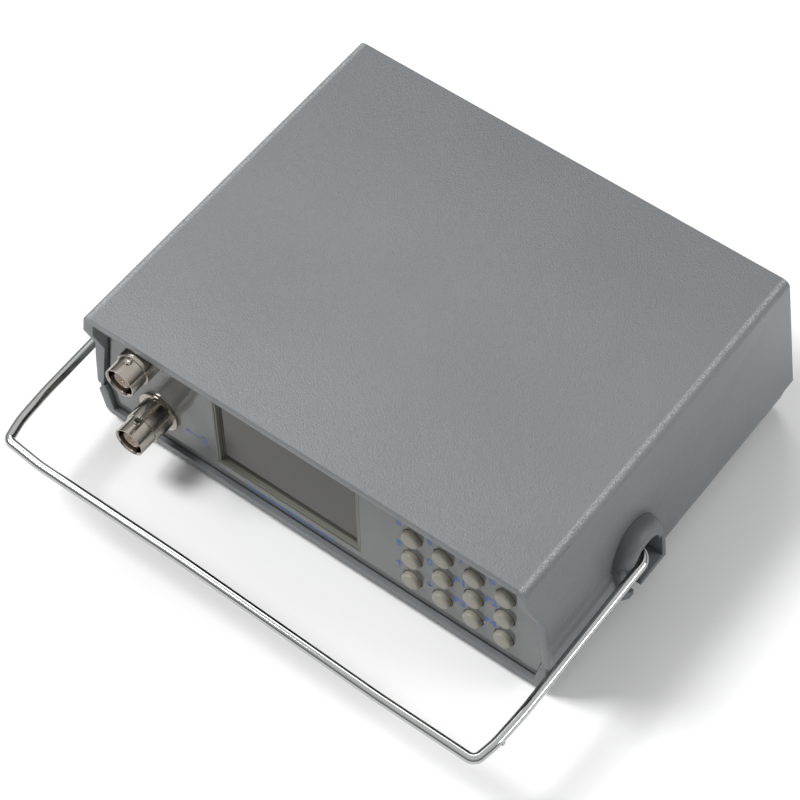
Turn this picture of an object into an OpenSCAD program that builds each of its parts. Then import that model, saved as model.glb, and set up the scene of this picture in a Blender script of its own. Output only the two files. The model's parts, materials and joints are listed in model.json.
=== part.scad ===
// Small bench instrument with a bail handle: moulded cover and tray, recessed front panel,
// two coaxial jacks, a display, sixteen keys and the boards inside.
// X runs across the front, Y from front to back, Z up from the table. Units are millimetres.

/* [Case] */
// Width across the flat top
top_w = 147; // [140:1:160]
// Depth of the cover, from the visor edge to the back
case_d = 123; // [118:1:140]
// Height of the cover, from the joint to the top
cover_h = 41.3; // [41:0.1:46]
// Height of the tray, from its underside to the joint
tray_h = 13.1; // [12.8:0.1:16]
// Wall thickness of the cover and tray
wall = 2.3; // [1.8:0.1:2.8]
// Outward lean of the cover's sides, in degrees
side_flare = 8.4; // [6:0.1:9]
// Outward lean of the sides' rounded front edges, in degrees
front_flare = 4; // [3.5:0.1:5]
// Inward lean of the tray's sides, in degrees
tray_draft = 11.5; // [8:0.1:13]
// Step from the cover's side in to the tray's side at the joint
tray_step = 0.6; // [0.3:0.1:1.2]
// Wall thickness of the case in front of the panel
cheek_wall = 3.3; // [2.9:0.1:3.6]
// Gap seen between the cover and the tray
joint_gap = 0.2; // [0.1:0.05:0.3]
// Radius of the cover's long top edges
edge_r = 2.4; // [1.5:0.1:3.5]
// Radius of the tray's lower edges
tray_r = 3; // [2:0.1:3.5]

/* [Visor] */
// Distance from the visor edge back to the side walls' front edges
wall_setback = 5.3; // [4:0.1:7]
// Height of the upright end of the visor's cheeks
cheek_h = 7.7; // [5:0.1:10]
// Depth below the top at which the cheeks meet the walls
cheek_drop = 21.4; // [16:0.1:26]
// Height of the visor's front lip
visor_lip_h = 3; // [2.8:0.1:4]
// Thickness of the visor's front lip
visor_lip_t = 2; // [1.5:0.1:3]
// Depth of the rounding that draws the walls' front corners in
corner_run = 2.6; // [2:0.1:4]
// Depth below the top at which that rounding starts
round_drop = 18; // [16:0.5:22]
// Height of the notch in the tray's front corners
notch_h = 3.4; // [2.5:0.1:4]

/* [Panels] */
// Distance from the walls' front edges back to the panel's face
panel_setback = 1.5; // [1.2:0.1:2.5]
// Thickness of the printed overlay
overlay_t = 0.35; // [0.2:0.05:0.6]
// Thickness of the front and rear panels
panel_t = 2; // [1.5:0.1:2.5]
// Gap all round the panels' edges
panel_gap = 0.25; // [0.1:0.05:0.3]
// Height of the tray's lip in front of the panels
tray_lip_h = 2.9; // [2.6:0.1:3.6]
// Depth of the grooves that hold the panels' lower edges
groove_d = 0.8; // [0.5:0.1:1.2]
// Distance of the rear panel's face from the back edge
rear_recess = 4.5; // [3:0.1:6]

/* [Display] */
// Width of the display window
window_w = 50; // [46:0.5:54]
// Height of the display window
window_h = 38; // [34:0.5:39]
// Distance of the window's middle left of the case's middle
window_x = -10.8; // [-12:0.1:-9]
// Depth below the top of the window's lower edge
window_drop = 45.8; // [44:0.1:47]
// Wall of the frame that lines the window
bezel_t = 0.9; // [0.6:0.1:1.4]
// Thickness of the display cell
glass_t = 2.6; // [2:0.1:3]

/* [Keys] */
// Pitch of the keys across
key_pitch = 10.16; // [9.9:0.01:10.4]
// Pitch of the keys up and down
row_pitch = 10.4; // [10:0.1:10.6]
// Diameter of a key
key_dia = 5.8; // [5.4:0.1:6.4]
// Height of a key above the overlay
key_rise = 1.9; // [1.4:0.1:2.6]
// Gap round a key in the panel
key_gap = 0.25; // [0.2:0.05:0.4]
// Travel of a key
key_travel = 0.5; // [0.3:0.05:0.6]
// Distance of the first column right of the middle
key_x = 32.4; // [32:0.1:34]
// Depth below the top of the first row
key_drop = 10.7; // [9.5:0.1:11]

/* [Jacks] */
// Distance of the jacks left of the middle
jack_x = -56.2; // [-58:0.1:-55]
// Depth below the top of the upper jack
upper_jack_drop = 9.7; // [9.6:0.1:11]
// Depth below the top of the lower jack
lower_jack_drop = 38.4; // [36:0.1:40]
// Outer diameter of a jack's mouth
jack_dia = 9.65; // [9.6:0.01:9.7]
// Distance from a jack's flange to its mouth
jack_reach = 12.7; // [11:0.1:14]
// Diameter of a jack's flange
flange_dia = 13.6; // [12.6:0.1:13.8]
// Diameter of a jack's threaded stem
stem_dia = 9.4; // [9:0.1:9.5]

/* [Bail] */
// Diameter of the bail's rod
rod_dia = 3; // [2.6:0.1:3.2]
// Distance from the pivot to the middle of the crossbar
bail_reach = 76.2; // [72:0.1:90]
// Distance from the case's middle to a leg's axis
leg_x = 82.9; // [82.7:0.1:84]
// Bend radius at the crossbar's ends, on the rod's axis
bail_bend = 6; // [4:0.5:12]
// Bend radius where a leg turns in to its pivot
pivot_bend = 4; // [3.6:0.1:4.2]
// Angle of the bail below level at rest
bail_droop = 2; // [1:0.5:6]
// Radial clearance of the pivot in its hub
pivot_clearance = 0.05; // [0.02:0.01:0.1]

/* [Hubs] */
// Distance of the pivot behind the visor edge
pivot_y = 44.6; // [42:0.1:48]
// Depth of the pivot below the top
pivot_drop = 30.4; // [29:0.1:31.5]
// Radius of a hub's dome
hub_r = 9.8; // [9.4:0.1:10.4]
// Wall of a hub's pocket
hub_wall = 2.3; // [1.8:0.1:2.6]
// Distance from the case's middle to the pocket's rim
hub_rim_x = 80.4; // [80.2:0.1:80.8]
// Distance from the case's middle to the dome's flat face
dome_x = 82.1; // [81.8:0.1:82.6]
// Rounding of the dome's edge
dome_round = 3.2; // [2.6:0.1:3.4]
// Radius of the dome's opening
hood_r = 6; // [5.8:0.1:6.2]
// Gap between a hub and the case
hub_gap = 0.15; // [0.1:0.05:0.25]

/* [Base] */
// Height of a rubber foot below the tray
foot_h = 2.5; // [2:0.1:4]
// Diameter of a rubber foot
foot_dia = 12; // [9:0.5:14]
// Distance of the feet from the case's middle
foot_x = 61; // [54:0.5:63]
// Distance of the front feet behind the visor edge
foot_inset = 14.5; // [13:0.5:18]
// Distance of the case screws from the case's middle
screw_x = 66; // [65:0.5:67]
// Distance of the front screws behind the visor edge
screw_inset = 26; // [24:0.5:27]

/* [Rear] */
// Distance of the power inlet right of the middle, seen from the front
inlet_x = -50; // [-54:0.5:-40]
// Distance of the power switch from the middle
switch_x = -24; // [-30:0.5:-18]
// Depth below the top of the inlet and the switch
rear_drop = 30; // [26:0.5:34]

/* [Hidden] */
$fn = 48;
slack = 1;                  // how far a cut runs past what it cuts

// Heights from the table
tray_z = foot_h;
joint_z = tray_z + tray_h;
case_top = joint_z + cover_h;
floor_t = wall;
floor_z = tray_z + floor_t;
roof_t = wall;
roof_z = case_top - roof_t;
pivot_z = case_top - pivot_drop;

// Depths from the visor edge
overlay_y = wall_setback + panel_setback;
panel_y = overlay_y + overlay_t;
panel_back = panel_y + panel_t;
rear_y = case_d - rear_recess;
rear_front = rear_y - panel_t;

// The bail's crossbar sets the front of the whole object, the rocker its back
rod_r = rod_dia / 2;
rocker_rise = 3.4;          // rocker's height at its middle above its hinge
rocker_proud = rocker_rise - rear_recess;
bail_front = bail_reach * cos(bail_droop) - pivot_y + rod_r;
case_back = case_d + max(rocker_proud, 0);
origin_y = (bail_front - case_back) / 2;

function side_half(z) = top_w / 2 + (case_top - z) * tan(side_flare);
round_z = case_top - round_drop;
function front_half(z) = side_half(round_z) + (round_z - z) * tan(front_flare);
function tray_half(z) = side_half(joint_z) - tray_step - (joint_z - z) * tan(tray_draft);

// Moves a piece from the case's own frame to the object's frame
module in_frame() { translate([0, origin_y, 0]) children(); }

// Extrudes an outline drawn in X and Z from y0 back to y1
module along_y(y0, y1) {
    translate([0, y1, 0]) rotate([90, 0, 0]) linear_extrude(height = y1 - y0) children();
}

// Extrudes an outline drawn in Y and Z from x0 to x1
module along_x(x0, x1) {
    translate([x0, 0, 0]) rotate([90, 0, 90]) linear_extrude(height = x1 - x0) children();
}

// A round bar from y0 back to y1
module bar_y(x, z, y0, y1, r) {
    translate([x, y1, z]) rotate([90, 0, 0]) cylinder(r = r, h = y1 - y0);
}

// Draws a right-hand piece again on the left
module both_sides() {
    children();
    mirror([1, 0, 0]) children();
}

// ---- cover ----

// Outline of the cover across its width, with the two long edges rounded
module cover_outline() {
    tangent = edge_r * tan((90 - side_flare) / 2);
    half = top_w / 2;
    low = side_half(joint_z);
    for (s = [-1, 1]) translate([s * (half - tangent), case_top - edge_r]) circle(r = edge_r);
    polygon([
        [half - tangent, case_top], [half - tangent, case_top - edge_r],
        [half + tangent * sin(side_flare), case_top - tangent * cos(side_flare)], [low, joint_z],
        [-low, joint_z], [-half - tangent * sin(side_flare), case_top - tangent * cos(side_flare)],
        [tangent - half, case_top - edge_r], [tangent - half, case_top]]);
}

// Inner half-width of the cover and of the tray, behind walls of the given thickness
function cover_inner(z, side) = side_half(z) - side / cos(side_flare);
function tray_inner(z, side) = tray_half(z) - side / cos(tray_draft);

// Outline of the cover's inside, between walls of the given thickness
module cover_hollow(side, ceiling) {
    high = cover_inner(ceiling, side);
    low = cover_inner(joint_z - slack, side);
    polygon([[high, ceiling], [low, joint_z - slack], [-low, joint_z - slack], [-high, ceiling]]);
}

// What is cut away in front of the side walls to leave the visor's cheeks
module cheek_cut() {
    along_x(-side_half(0), side_half(0)) polygon([
        [-slack, case_top - cheek_h], [0, case_top - cheek_h],
        [wall_setback, case_top - cheek_drop],
        [wall_setback, joint_z - slack], [-slack, joint_z - slack]]);
}

// Rounds the walls' front corners in, so that their edges lean less than the sides do
module corner_trim() {
    reach = (side_half(joint_z) - front_half(joint_z)) * cos(front_flare);
    steps = 8;
    translate([side_half(round_z), wall_setback, round_z]) rotate([0, -front_flare, 0])
        translate([0, 0, -cover_h]) linear_extrude(height = cover_h + 2 * slack)
            polygon([[0, -2 * wall_setback],
                for (i = [0 : steps]) [reach * sin(i * 90 / steps),
                    corner_run * (1 - cos(i * 90 / steps))],
                [3 * reach, corner_run], [3 * reach, -2 * wall_setback]]);
}

boss_r = 3.6;
screw_r = 1.5;
pilot_r = 1.2;
screw_ys = [screw_inset, case_d - screw_inset + 7];

// Pillars inside the cover that the case screws bite into
module cover_bosses() {
    for (x = [-screw_x, screw_x], y = screw_ys) difference() {
        translate([x, y, joint_z + 0.5]) cylinder(r = boss_r, h = roof_z - joint_z - 0.5);
        translate([x, y, joint_z]) cylinder(r = pilot_r, h = 14);
    }
}

rib_t = 1.6;
rib_h = 4;
rib_gap = 0.2;

// Ribs under the roof that keep the panels from tipping inwards
module roof_ribs() {
    for (x = [-48.6, 22.6], y = [panel_back + rib_gap, rear_front - rib_gap - rib_t])
        translate([x, y, roof_z - rib_h]) cube([rib_t * 2, rib_t, rib_h]);
}

module top_cover() {
    color([0.50, 0.53, 0.54]) in_frame() {
        difference() {
            along_y(0, case_d) cover_outline();
            along_y(-slack, case_d + slack) cover_hollow(cheek_wall, case_top - visor_lip_h);
            along_y(visor_lip_t, case_d + slack) cover_hollow(cheek_wall, roof_z);
            along_y(wall_setback + corner_run, rear_y + panel_gap) cover_hollow(wall, roof_z);
            cheek_cut();
            both_sides() corner_trim();
            both_sides() along_x(hub_back_x - slack, side_half(0)) hub_outline(hub_gap);
        }
        cover_bosses();
        roof_ribs();
    }
}

// ---- tray ----

// Outline of the tray across its width, with its lower edges rounded
module tray_outline() {
    high = joint_z - joint_gap;
    turn = tray_r * tan((90 - tray_draft) / 2);
    low = tray_half(tray_z);
    for (s = [-1, 1]) translate([s * (low - turn), tray_z + tray_r]) circle(r = tray_r);
    polygon([
        [tray_half(high), high], [low + turn * sin(tray_draft), tray_z + turn * cos(tray_draft)],
        [low - turn, tray_z + tray_r], [low - turn, tray_z],
        [turn - low, tray_z], [turn - low, tray_z + tray_r],
        [-low - turn * sin(tray_draft), tray_z + turn * cos(tray_draft)], [-tray_half(high), high]]);
}

// Outline of the tray's inside above the given height, between walls of the given thickness
module tray_hollow(low, side) {
    top = joint_z + slack;
    high_half = tray_inner(top, side);
    low_half = tray_inner(low, side);
    polygon([[high_half, top], [low_half, low], [-low_half, low], [-high_half, top]]);
}

// Groove across the floor, between walls of the given thickness, for a panel's lower edge
module floor_groove(y, side) {
    half = tray_inner(floor_z, side) - 0.6;
    translate([-half, y - panel_gap, floor_z - groove_d])
        cube([2 * half, panel_t + 2 * panel_gap, groove_d + slack]);
}

standoff_r = 3;
standoff_h = 5;
board_x = screw_x - boss_r - 8.4;
board_ys = [34, case_d - 16];
notch_x = front_half(joint_z) - 0.5;
notch_d = 4;

module bottom_tray() {
    color([0.49, 0.52, 0.53]) in_frame() {
        difference() {
            along_y(wall_setback, case_d) tray_outline();
            along_y(panel_y - panel_gap, rear_y + panel_gap)
                tray_hollow(floor_z, cheek_wall - panel_gap);
            along_y(wall_setback + corner_run, rear_y + panel_gap) tray_hollow(floor_z, wall);
            along_y(wall_setback - slack, case_d + slack)
                tray_hollow(tray_z + tray_lip_h, cheek_wall);
            floor_groove(panel_y, cheek_wall);
            floor_groove(rear_front, wall);
            both_sides() along_x(hub_back_x - slack, side_half(0)) hub_outline(hub_gap);
            both_sides() translate([notch_x, wall_setback - slack, joint_z - notch_h])
                cube([side_half(0) - notch_x, notch_d + slack, notch_h + slack]);
            for (x = [-screw_x, screw_x], y = screw_ys) {
                translate([x, y, tray_z - slack]) cylinder(r = screw_r + 0.2, h = tray_h);
                translate([x, y, tray_z - slack]) cylinder(r = 3.1, h = slack + 1.6);
            }
        }
        for (x = [-screw_x, screw_x], y = screw_ys) difference() {
            translate([x, y, floor_z]) cylinder(r = boss_r, h = joint_z + 0.3 - floor_z);
            translate([x, y, floor_z - slack]) cylinder(r = screw_r + 0.2, h = tray_h + 2);
        }
        for (x = [-board_x, board_x], y = board_ys) difference() {
            translate([x, y, floor_z]) cylinder(r = standoff_r, h = standoff_h);
            translate([x, y, floor_z + 1]) cylinder(r = 1, h = standoff_h);
        }
    }
}

// ---- hubs ----

hub_back_x = 72.8;
cup_drop = 19.9;            // depth of a pocket's floor below the pivot
hood_tilt = 6;              // slope of the dome's lower ends, in degrees
hood_gap = 1;               // height of the dome's lower ends above the pivot

// Outline of a hub seen from the side, grown by the given amount
module hub_outline(grow) {
    translate([pivot_y, pivot_z]) {
        circle(r = hub_r + grow);
        polygon([
            [-hub_r - grow, 0], [-8 - grow, -15.1], [-3.6, -cup_drop - grow],
            [14 + grow, -cup_drop - grow], [12.2 + grow, -6.5], [hub_r + grow, 0.8]]);
    }
}

// Outline of the pocket inside a hub
module hub_pocket() {
    inner = hub_r - hub_wall;
    translate([pivot_y, pivot_z]) {
        circle(r = inner);
        polygon([[-inner, 0], [-5.7, -14.4], [-3, hub_wall - cup_drop],
            [12.2, hub_wall - cup_drop], [10.6, -6.3], [inner, 0.8]]);
    }
}

// The side of the hood's line that its rim is on, seen from the side
module below_hood() {
    translate([pivot_y, pivot_z]) rotate(-hood_tilt)
        translate([-2 * hub_r, hood_gap - 3 * hub_r]) square([4 * hub_r, 3 * hub_r]);
}

// Turns a profile of radius and height about the hub's axis, from the given distance out
module about_hub(x) {
    translate([x, pivot_y, pivot_z]) rotate([0, 90, 0]) rotate_extrude() children();
}

// Dome over the rod's end, with a rounded edge and a flat face round its opening
module hub_dome() {
    flat_r = hub_r - dome_round;
    inner_round = dome_round - hub_wall;
    difference() {
        about_hub(dome_x - dome_round) {
            translate([hood_r, 0]) square([hub_r - hood_r - dome_round, dome_round]);
            intersection() {
                translate([flat_r, 0]) circle(r = dome_round);
                translate([flat_r, 0]) square(dome_round);
            }
        }
        about_hub(dome_x - dome_round) {
            translate([0, -slack]) square([flat_r, slack + inner_round]);
            translate([0, -slack]) square([flat_r + inner_round, slack]);
            intersection() {
                translate([flat_r, 0]) circle(r = inner_round);
                translate([flat_r, 0]) square(inner_round);
            }
        }
        along_x(dome_x - dome_round - slack, dome_x + slack) below_hood();
    }
}

// One hub: pocket, floor with a notch for the rod, dome and pivot bore
module hub() {
    back_t = 2.4;
    shell_x = dome_x - dome_round;
    difference() {
        union() {
            along_x(hub_back_x, shell_x) hub_outline(0);
            along_x(shell_x, hub_rim_x) intersection() {
                hub_outline(0);
                below_hood();
            }
        }
        along_x(hub_back_x + back_t, hub_rim_x + slack) hub_pocket();
        translate([hub_back_x - slack, pivot_y, pivot_z]) rotate([0, 90, 0])
            cylinder(r = rod_r + pivot_clearance, h = back_t + 2 * slack);
        translate([hub_rim_x - 3.4, pivot_y - rod_r - 0.3, pivot_z - cup_drop - slack])
            cube([3.4 + slack, rod_dia + 0.6, hub_wall + 2 * slack]);
    }
    hub_dome();
}

module left_hub() { color([0.38, 0.41, 0.43]) in_frame() mirror([1, 0, 0]) hub(); }

module right_hub() { color([0.38, 0.41, 0.43]) in_frame() hub(); }

// ---- bail ----

// A quarter bend of the rod, from +X round to +Y, with its centre at the origin
module rod_bend(r) {
    rotate_extrude(angle = 90) translate([r, 0]) circle(r = rod_r);
}

// Right half of the bail, drawn flat and pointing forwards from the pivot
module bail_half() {
    tip_x = hub_back_x + 0.5;
    translate([tip_x, 0, 0]) rotate([0, 90, 0])
        cylinder(r = rod_r, h = leg_x - pivot_bend - tip_x);
    translate([leg_x - pivot_bend, -pivot_bend, 0]) rod_bend(pivot_bend);
    bar_y(leg_x, 0, bail_bend - bail_reach, -pivot_bend, rod_r);
    translate([leg_x - bail_bend, bail_bend - bail_reach, 0]) rotate(-90) rod_bend(bail_bend);
    translate([0, -bail_reach, 0]) rotate([0, 90, 0]) cylinder(r = rod_r, h = leg_x - bail_bend);
}

module bail() {
    color([0.75, 0.76, 0.77]) in_frame()
        translate([0, pivot_y, pivot_z]) rotate([bail_droop, 0, 0]) both_sides() bail_half();
}

// ---- front panel ----

window_z0 = case_top - window_drop;
window_x0 = window_x - window_w / 2;
col_xs = [for (i = [0 : 3]) key_x + i * key_pitch];
row_zs = [for (i = [0 : 3]) case_top - key_drop - i * row_pitch];
upper_jack_z = case_top - upper_jack_drop;
lower_jack_z = case_top - lower_jack_drop;

// Outline of a panel that fills the case above the given height, kept clear of its walls
module panel_outline(side, low_z, gap) {
    at_roof = cover_inner(roof_z, side) - gap;
    at_joint = min(cover_inner(joint_z, side), tray_inner(joint_z, side)) - gap;
    shelf_z = max(low_z, floor_z + gap);
    at_shelf = tray_inner(shelf_z, side) - gap;
    polygon([[at_roof, roof_z - gap], [at_joint, joint_z], [at_shelf, shelf_z],
        [at_shelf - 1, shelf_z], [at_shelf - 1, low_z], [1 - at_shelf, low_z],
        [1 - at_shelf, shelf_z], [-at_shelf, shelf_z], [-at_joint, joint_z],
        [-at_roof, roof_z - gap]]);
}

// The openings that the panel and its overlay share, through y0 to y1
module panel_openings(y0, y1) {
    translate([window_x0, y0, window_z0]) cube([window_w, y1 - y0, window_h]);
    for (x = col_xs, z = row_zs) bar_y(x, z, y0, y1, key_dia / 2 + key_gap);
    for (z = [upper_jack_z, lower_jack_z]) bar_y(jack_x, z, y0, y1, stem_dia / 2 + 0.15);
}

fit_gap = 0.05;             // radial gap where one fixed piece sits inside another
keypad_y = panel_back + 6;
display_y = panel_back + glass_t + 0.6;
cell_xs = [col_xs[0] + key_pitch / 2, col_xs[2] + key_pitch / 2];
cell_zs = [row_zs[1] + row_pitch / 2, row_zs[3] + row_pitch / 2];
display_post_xs = [window_x0 - 6, window_x0 + window_w + 6];
display_post_zs = [window_z0 + 1.5, window_z0 + window_h - 1.5];

module front_panel() {
    post_r = 2.2;
    color([0.60, 0.61, 0.61]) in_frame() {
        difference() {
            along_y(panel_y, panel_back)
                panel_outline(cheek_wall, floor_z - groove_d + 0.15, panel_gap);
            panel_openings(panel_y - slack, panel_back + slack);
        }
        for (x = cell_xs, z = cell_zs) difference() {
            bar_y(x, z, panel_back, keypad_y, post_r);
            bar_y(x, z, panel_back + 0.8, keypad_y + slack, 0.9);
        }
        for (x = display_post_xs, z = display_post_zs) difference() {
            bar_y(x, z, panel_back, display_y, post_r);
            bar_y(x, z, panel_back + 0.6, display_y + slack, 0.9);
        }
    }
}

module panel_overlay() {
    color([0.66, 0.67, 0.67]) in_frame() difference() {
        along_y(overlay_y, panel_y)
            panel_outline(cheek_wall, tray_z + tray_lip_h + 0.2, panel_gap + 0.2);
        panel_openings(overlay_y - slack, panel_y + slack);
    }
}

// ---- rear panel ----

inlet_z = case_top - rear_drop;
inlet_stem_r = 4;
switch_w = 13;
switch_h = 19.2;

module rear_panel() {
    color([0.42, 0.44, 0.45]) in_frame() difference() {
        along_y(rear_front, rear_y)
            panel_outline(wall, floor_z - groove_d + 0.15, panel_gap);
        bar_y(inlet_x, inlet_z, rear_front - slack, rear_y + slack, inlet_stem_r + 0.1);
        translate([switch_x - switch_w / 2, rear_front - slack, inlet_z - switch_h / 2])
            cube([switch_w, panel_t + 2 * slack, switch_h]);
    }
}

// Panel socket for the power lead's round plug, open to the back
module power_inlet() {
    color([0.12, 0.12, 0.13]) in_frame() {
        difference() {
            union() {
                bar_y(inlet_x, inlet_z, rear_y, rear_y + 1.6, 5.5);
                bar_y(inlet_x, inlet_z, rear_y - 11, rear_y, inlet_stem_r);
            }
            bar_y(inlet_x, inlet_z, rear_y - 9, rear_y + 1.6 + slack, 2.9);
        }
        bar_y(inlet_x, inlet_z, rear_y - 9.5, rear_y + 0.6, 1.05);
        for (s = [-1, 1]) translate([inlet_x + s * 2 - 0.8, rear_y - 16, inlet_z - 0.2])
            cube([1.6, 5.5, 0.4]);
    }
}

module inlet_nut() {
    color([0.72, 0.72, 0.70]) in_frame() difference() {
        translate([inlet_x, rear_front, inlet_z]) rotate([90, 0, 0]) cylinder(r = 6.2, h = 2.2, $fn = 6);
        bar_y(inlet_x, inlet_z, rear_front - 2.2 - slack, rear_front + slack, inlet_stem_r + 0.05);
    }
}

rocker_gap = 0.35;
rocker_r = 6.6;             // reach of the rocker's lower arc from its hinge
rocker_throw = 16;
rocker_y = rear_y - 3.6;

module switch_body() {
    rim = 1.1;
    rim_t = 1.5;
    well_w = switch_w - 2 * rim;
    well_h = switch_h - 2 * rim;
    color([0.10, 0.10, 0.11]) in_frame() difference() {
        union() {
            translate([switch_x - switch_w / 2 - 1, rear_y, inlet_z - switch_h / 2 - 1])
                cube([switch_w + 2, rim_t, switch_h + 2]);
            translate([switch_x - switch_w / 2 + 0.1, rear_y - 14, inlet_z - switch_h / 2 + 0.1])
                cube([switch_w - 0.2, 14, switch_h - 0.2]);
        }
        translate([switch_x - well_w / 2, rocker_y - rocker_r - 1, inlet_z - well_h / 2])
            cube([well_w, 30, well_h]);
        translate([switch_x, rocker_y, inlet_z]) rotate([0, 90, 0])
            cylinder(r = 1.05, h = well_w + 1.2, center = true);
    }
}

// Rocker with a hollowed face, tipped to its off position, on stub pins
module switch_rocker() {
    rocker_w = switch_w - 2.2 - 2 * rocker_gap;
    half_h = (switch_h - 2.2) / 2 - 1.1;
    color([0.14, 0.14, 0.15]) in_frame()
        translate([switch_x, rocker_y, inlet_z]) rotate([-rocker_throw / 2, 0, 0]) {
            along_x(-rocker_w / 2, rocker_w / 2) difference() {
                intersection() {
                    circle(r = 9.2);
                    translate([-2.4, -half_h]) square([rocker_rise + 5.4, 2 * half_h]);
                }
                translate([rocker_rise + 24.2, 0]) circle(r = 22.6);
            }
            rotate([0, 90, 0]) cylinder(r = 1, h = switch_w - 1.2, center = true);
        }
}

// ---- display ----

module display_bezel() {
    color([0.42, 0.43, 0.36]) in_frame() difference() {
        translate([window_x0, overlay_y + 0.1, window_z0])
            cube([window_w, panel_back - overlay_y - 0.1, window_h]);
        translate([window_x0 + bezel_t, overlay_y - slack, window_z0 + bezel_t])
            cube([window_w - 2 * bezel_t, panel_back + slack, window_h - 2 * bezel_t]);
    }
}

module display_glass() {
    margin = 3;
    color([0.30, 0.29, 0.27]) in_frame()
        translate([window_x0 - margin, panel_back + 0.1, window_z0 - 1.5])
            cube([window_w + 2 * margin, glass_t, window_h + 3.5]);
}

module display_board() {
    low = window_z0 - 1.7;
    left = display_post_xs[0] - 3;
    color([0.12, 0.30, 0.20]) in_frame() difference() {
        translate([left, display_y, low])
            cube([display_post_xs[1] + 3 - left, 1.6, window_h + 4.2]);
        for (x = display_post_xs, z = display_post_zs)
            bar_y(x, z, display_y - slack, display_y + 1.6 + slack, 1.1);
    }
}

// ---- keypad ----

switch_side = 6;
switch_t = 3.5;
plunger_r = 1.7;

module keypad_board() {
    margin = 6.6;
    color([0.12, 0.30, 0.20]) in_frame() difference() {
        translate([col_xs[0] - margin, keypad_y, row_zs[3] - 5.2])
            cube([col_xs[3] - col_xs[0] + 2 * margin, 1.6, row_zs[0] - row_zs[3] + 10.4]);
        for (x = cell_xs, z = cell_zs)
            bar_y(x, z, keypad_y - slack, keypad_y + 1.6 + slack, 1.1);
    }
}

module key_switches() {
    color([0.13, 0.13, 0.14]) in_frame() for (x = col_xs, z = row_zs) difference() {
        translate([x - switch_side / 2, keypad_y - switch_t, z - switch_side / 2])
            cube([switch_side, switch_t, switch_side]);
        bar_y(x, z, keypad_y - switch_t - slack, keypad_y - 0.8, plunger_r + 0.1);
    }
}

// One key: a round cap with a softened rim, a flange behind the panel and a plunger
module key(col, row) {
    face_y = overlay_y - key_rise;
    flange_y = panel_back + 0.3;
    soft = 1;
    r = key_dia / 2;
    plunger_end = keypad_y - 0.8 - key_travel - 0.2;
    color([0.74, 0.72, 0.67]) in_frame()
        translate([col_xs[col], face_y, row_zs[row]]) rotate([-90, 0, 0]) rotate_extrude() {
            translate([r - soft, soft]) intersection() {
                circle(r = soft);
                translate([0, -soft]) square(soft);
            }
            square([r - soft, flange_y - face_y]);
            translate([0, soft]) square([r, flange_y - face_y - soft]);
            translate([0, flange_y - face_y]) square([r + 0.75, 1.2]);
            square([plunger_r, plunger_end - face_y]);
        }
}

// ---- jacks ----

nut_t = 2.4;
washer_t = 0.8;
stem_len = panel_t + overlay_t + washer_t + nut_t + 2.4;

// Shell of a bayonet jack: flange, sleeve, mouth with two lugs and threaded stem
module jack_shell(z) {
    flange_t = 1;
    sleeve_r = 5.4;
    mouth_y = overlay_y - jack_reach - flange_t;
    step_y = mouth_y + 5.7;
    lug_y = mouth_y + 4.4;
    color([0.72, 0.70, 0.67]) in_frame() difference() {
        union() {
            bar_y(jack_x, z, overlay_y - flange_t, overlay_y, flange_dia / 2);
            bar_y(jack_x, z, step_y, overlay_y - flange_t, sleeve_r);
            bar_y(jack_x, z, mouth_y, step_y, jack_dia / 2);
            bar_y(jack_x, z, overlay_y, overlay_y + stem_len, stem_dia / 2);
            translate([jack_x, lug_y, z]) cylinder(r = 1, h = 11.1, center = true);
        }
        bar_y(jack_x, z, mouth_y - slack, mouth_y + 9, bore_r);
        translate([jack_x, mouth_y + 0.6, z]) rotate([90, 0, 0])
            cylinder(r1 = bore_r - 0.1, r2 = bore_r + 0.4, h = 0.7);
        bar_y(jack_x, z, mouth_y, overlay_y + stem_len + slack, insulator_r + fit_gap);
    }
}

bore_r = 4.15;
insulator_r = 3;
contact_r = 1;

module jack_insulator(z) {
    mouth_y = overlay_y - jack_reach - 1;
    color([0.80, 0.74, 0.66]) in_frame() difference() {
        bar_y(jack_x, z, mouth_y + 0.5, overlay_y + stem_len + 0.8, insulator_r);
        bar_y(jack_x, z, mouth_y, overlay_y + stem_len + slack, contact_r + fit_gap);
    }
}

module jack_contact(z) {
    mouth_y = overlay_y - jack_reach - 1;
    color([0.76, 0.60, 0.30]) in_frame() difference() {
        bar_y(jack_x, z, mouth_y + 0.9, overlay_y + stem_len + 4.5, contact_r);
        bar_y(jack_x, z, mouth_y, mouth_y + 7, 0.6);
    }
}

module jack_washers() {
    color([0.70, 0.70, 0.68]) in_frame() for (z = [upper_jack_z, lower_jack_z]) difference() {
        bar_y(jack_x, z, panel_back, panel_back + washer_t, 6.2);
        bar_y(jack_x, z, panel_back - slack, panel_back + washer_t + slack, stem_dia / 2 + 0.05);
    }
}

module jack_nuts() {
    color([0.72, 0.70, 0.67]) in_frame() for (z = [upper_jack_z, lower_jack_z]) difference() {
        translate([jack_x, panel_back + washer_t + nut_t, z]) rotate([90, 0, 0])
            cylinder(r = 7, h = nut_t, $fn = 6);
        bar_y(jack_x, z, panel_back, panel_back + washer_t + nut_t + slack, stem_dia / 2 + 0.05);
    }
}

// ---- boards ----

board_z = floor_z + standoff_h;
board_t = 1.6;
board_top = board_z + board_t;
board_y0 = 29;
box_x0 = jack_x - 4.8;
box_w = 54;
box_y0 = 37.5;
box_d = 46;
box_h = 17;
sheet = 0.5;
lead_r = 1.3;

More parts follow.
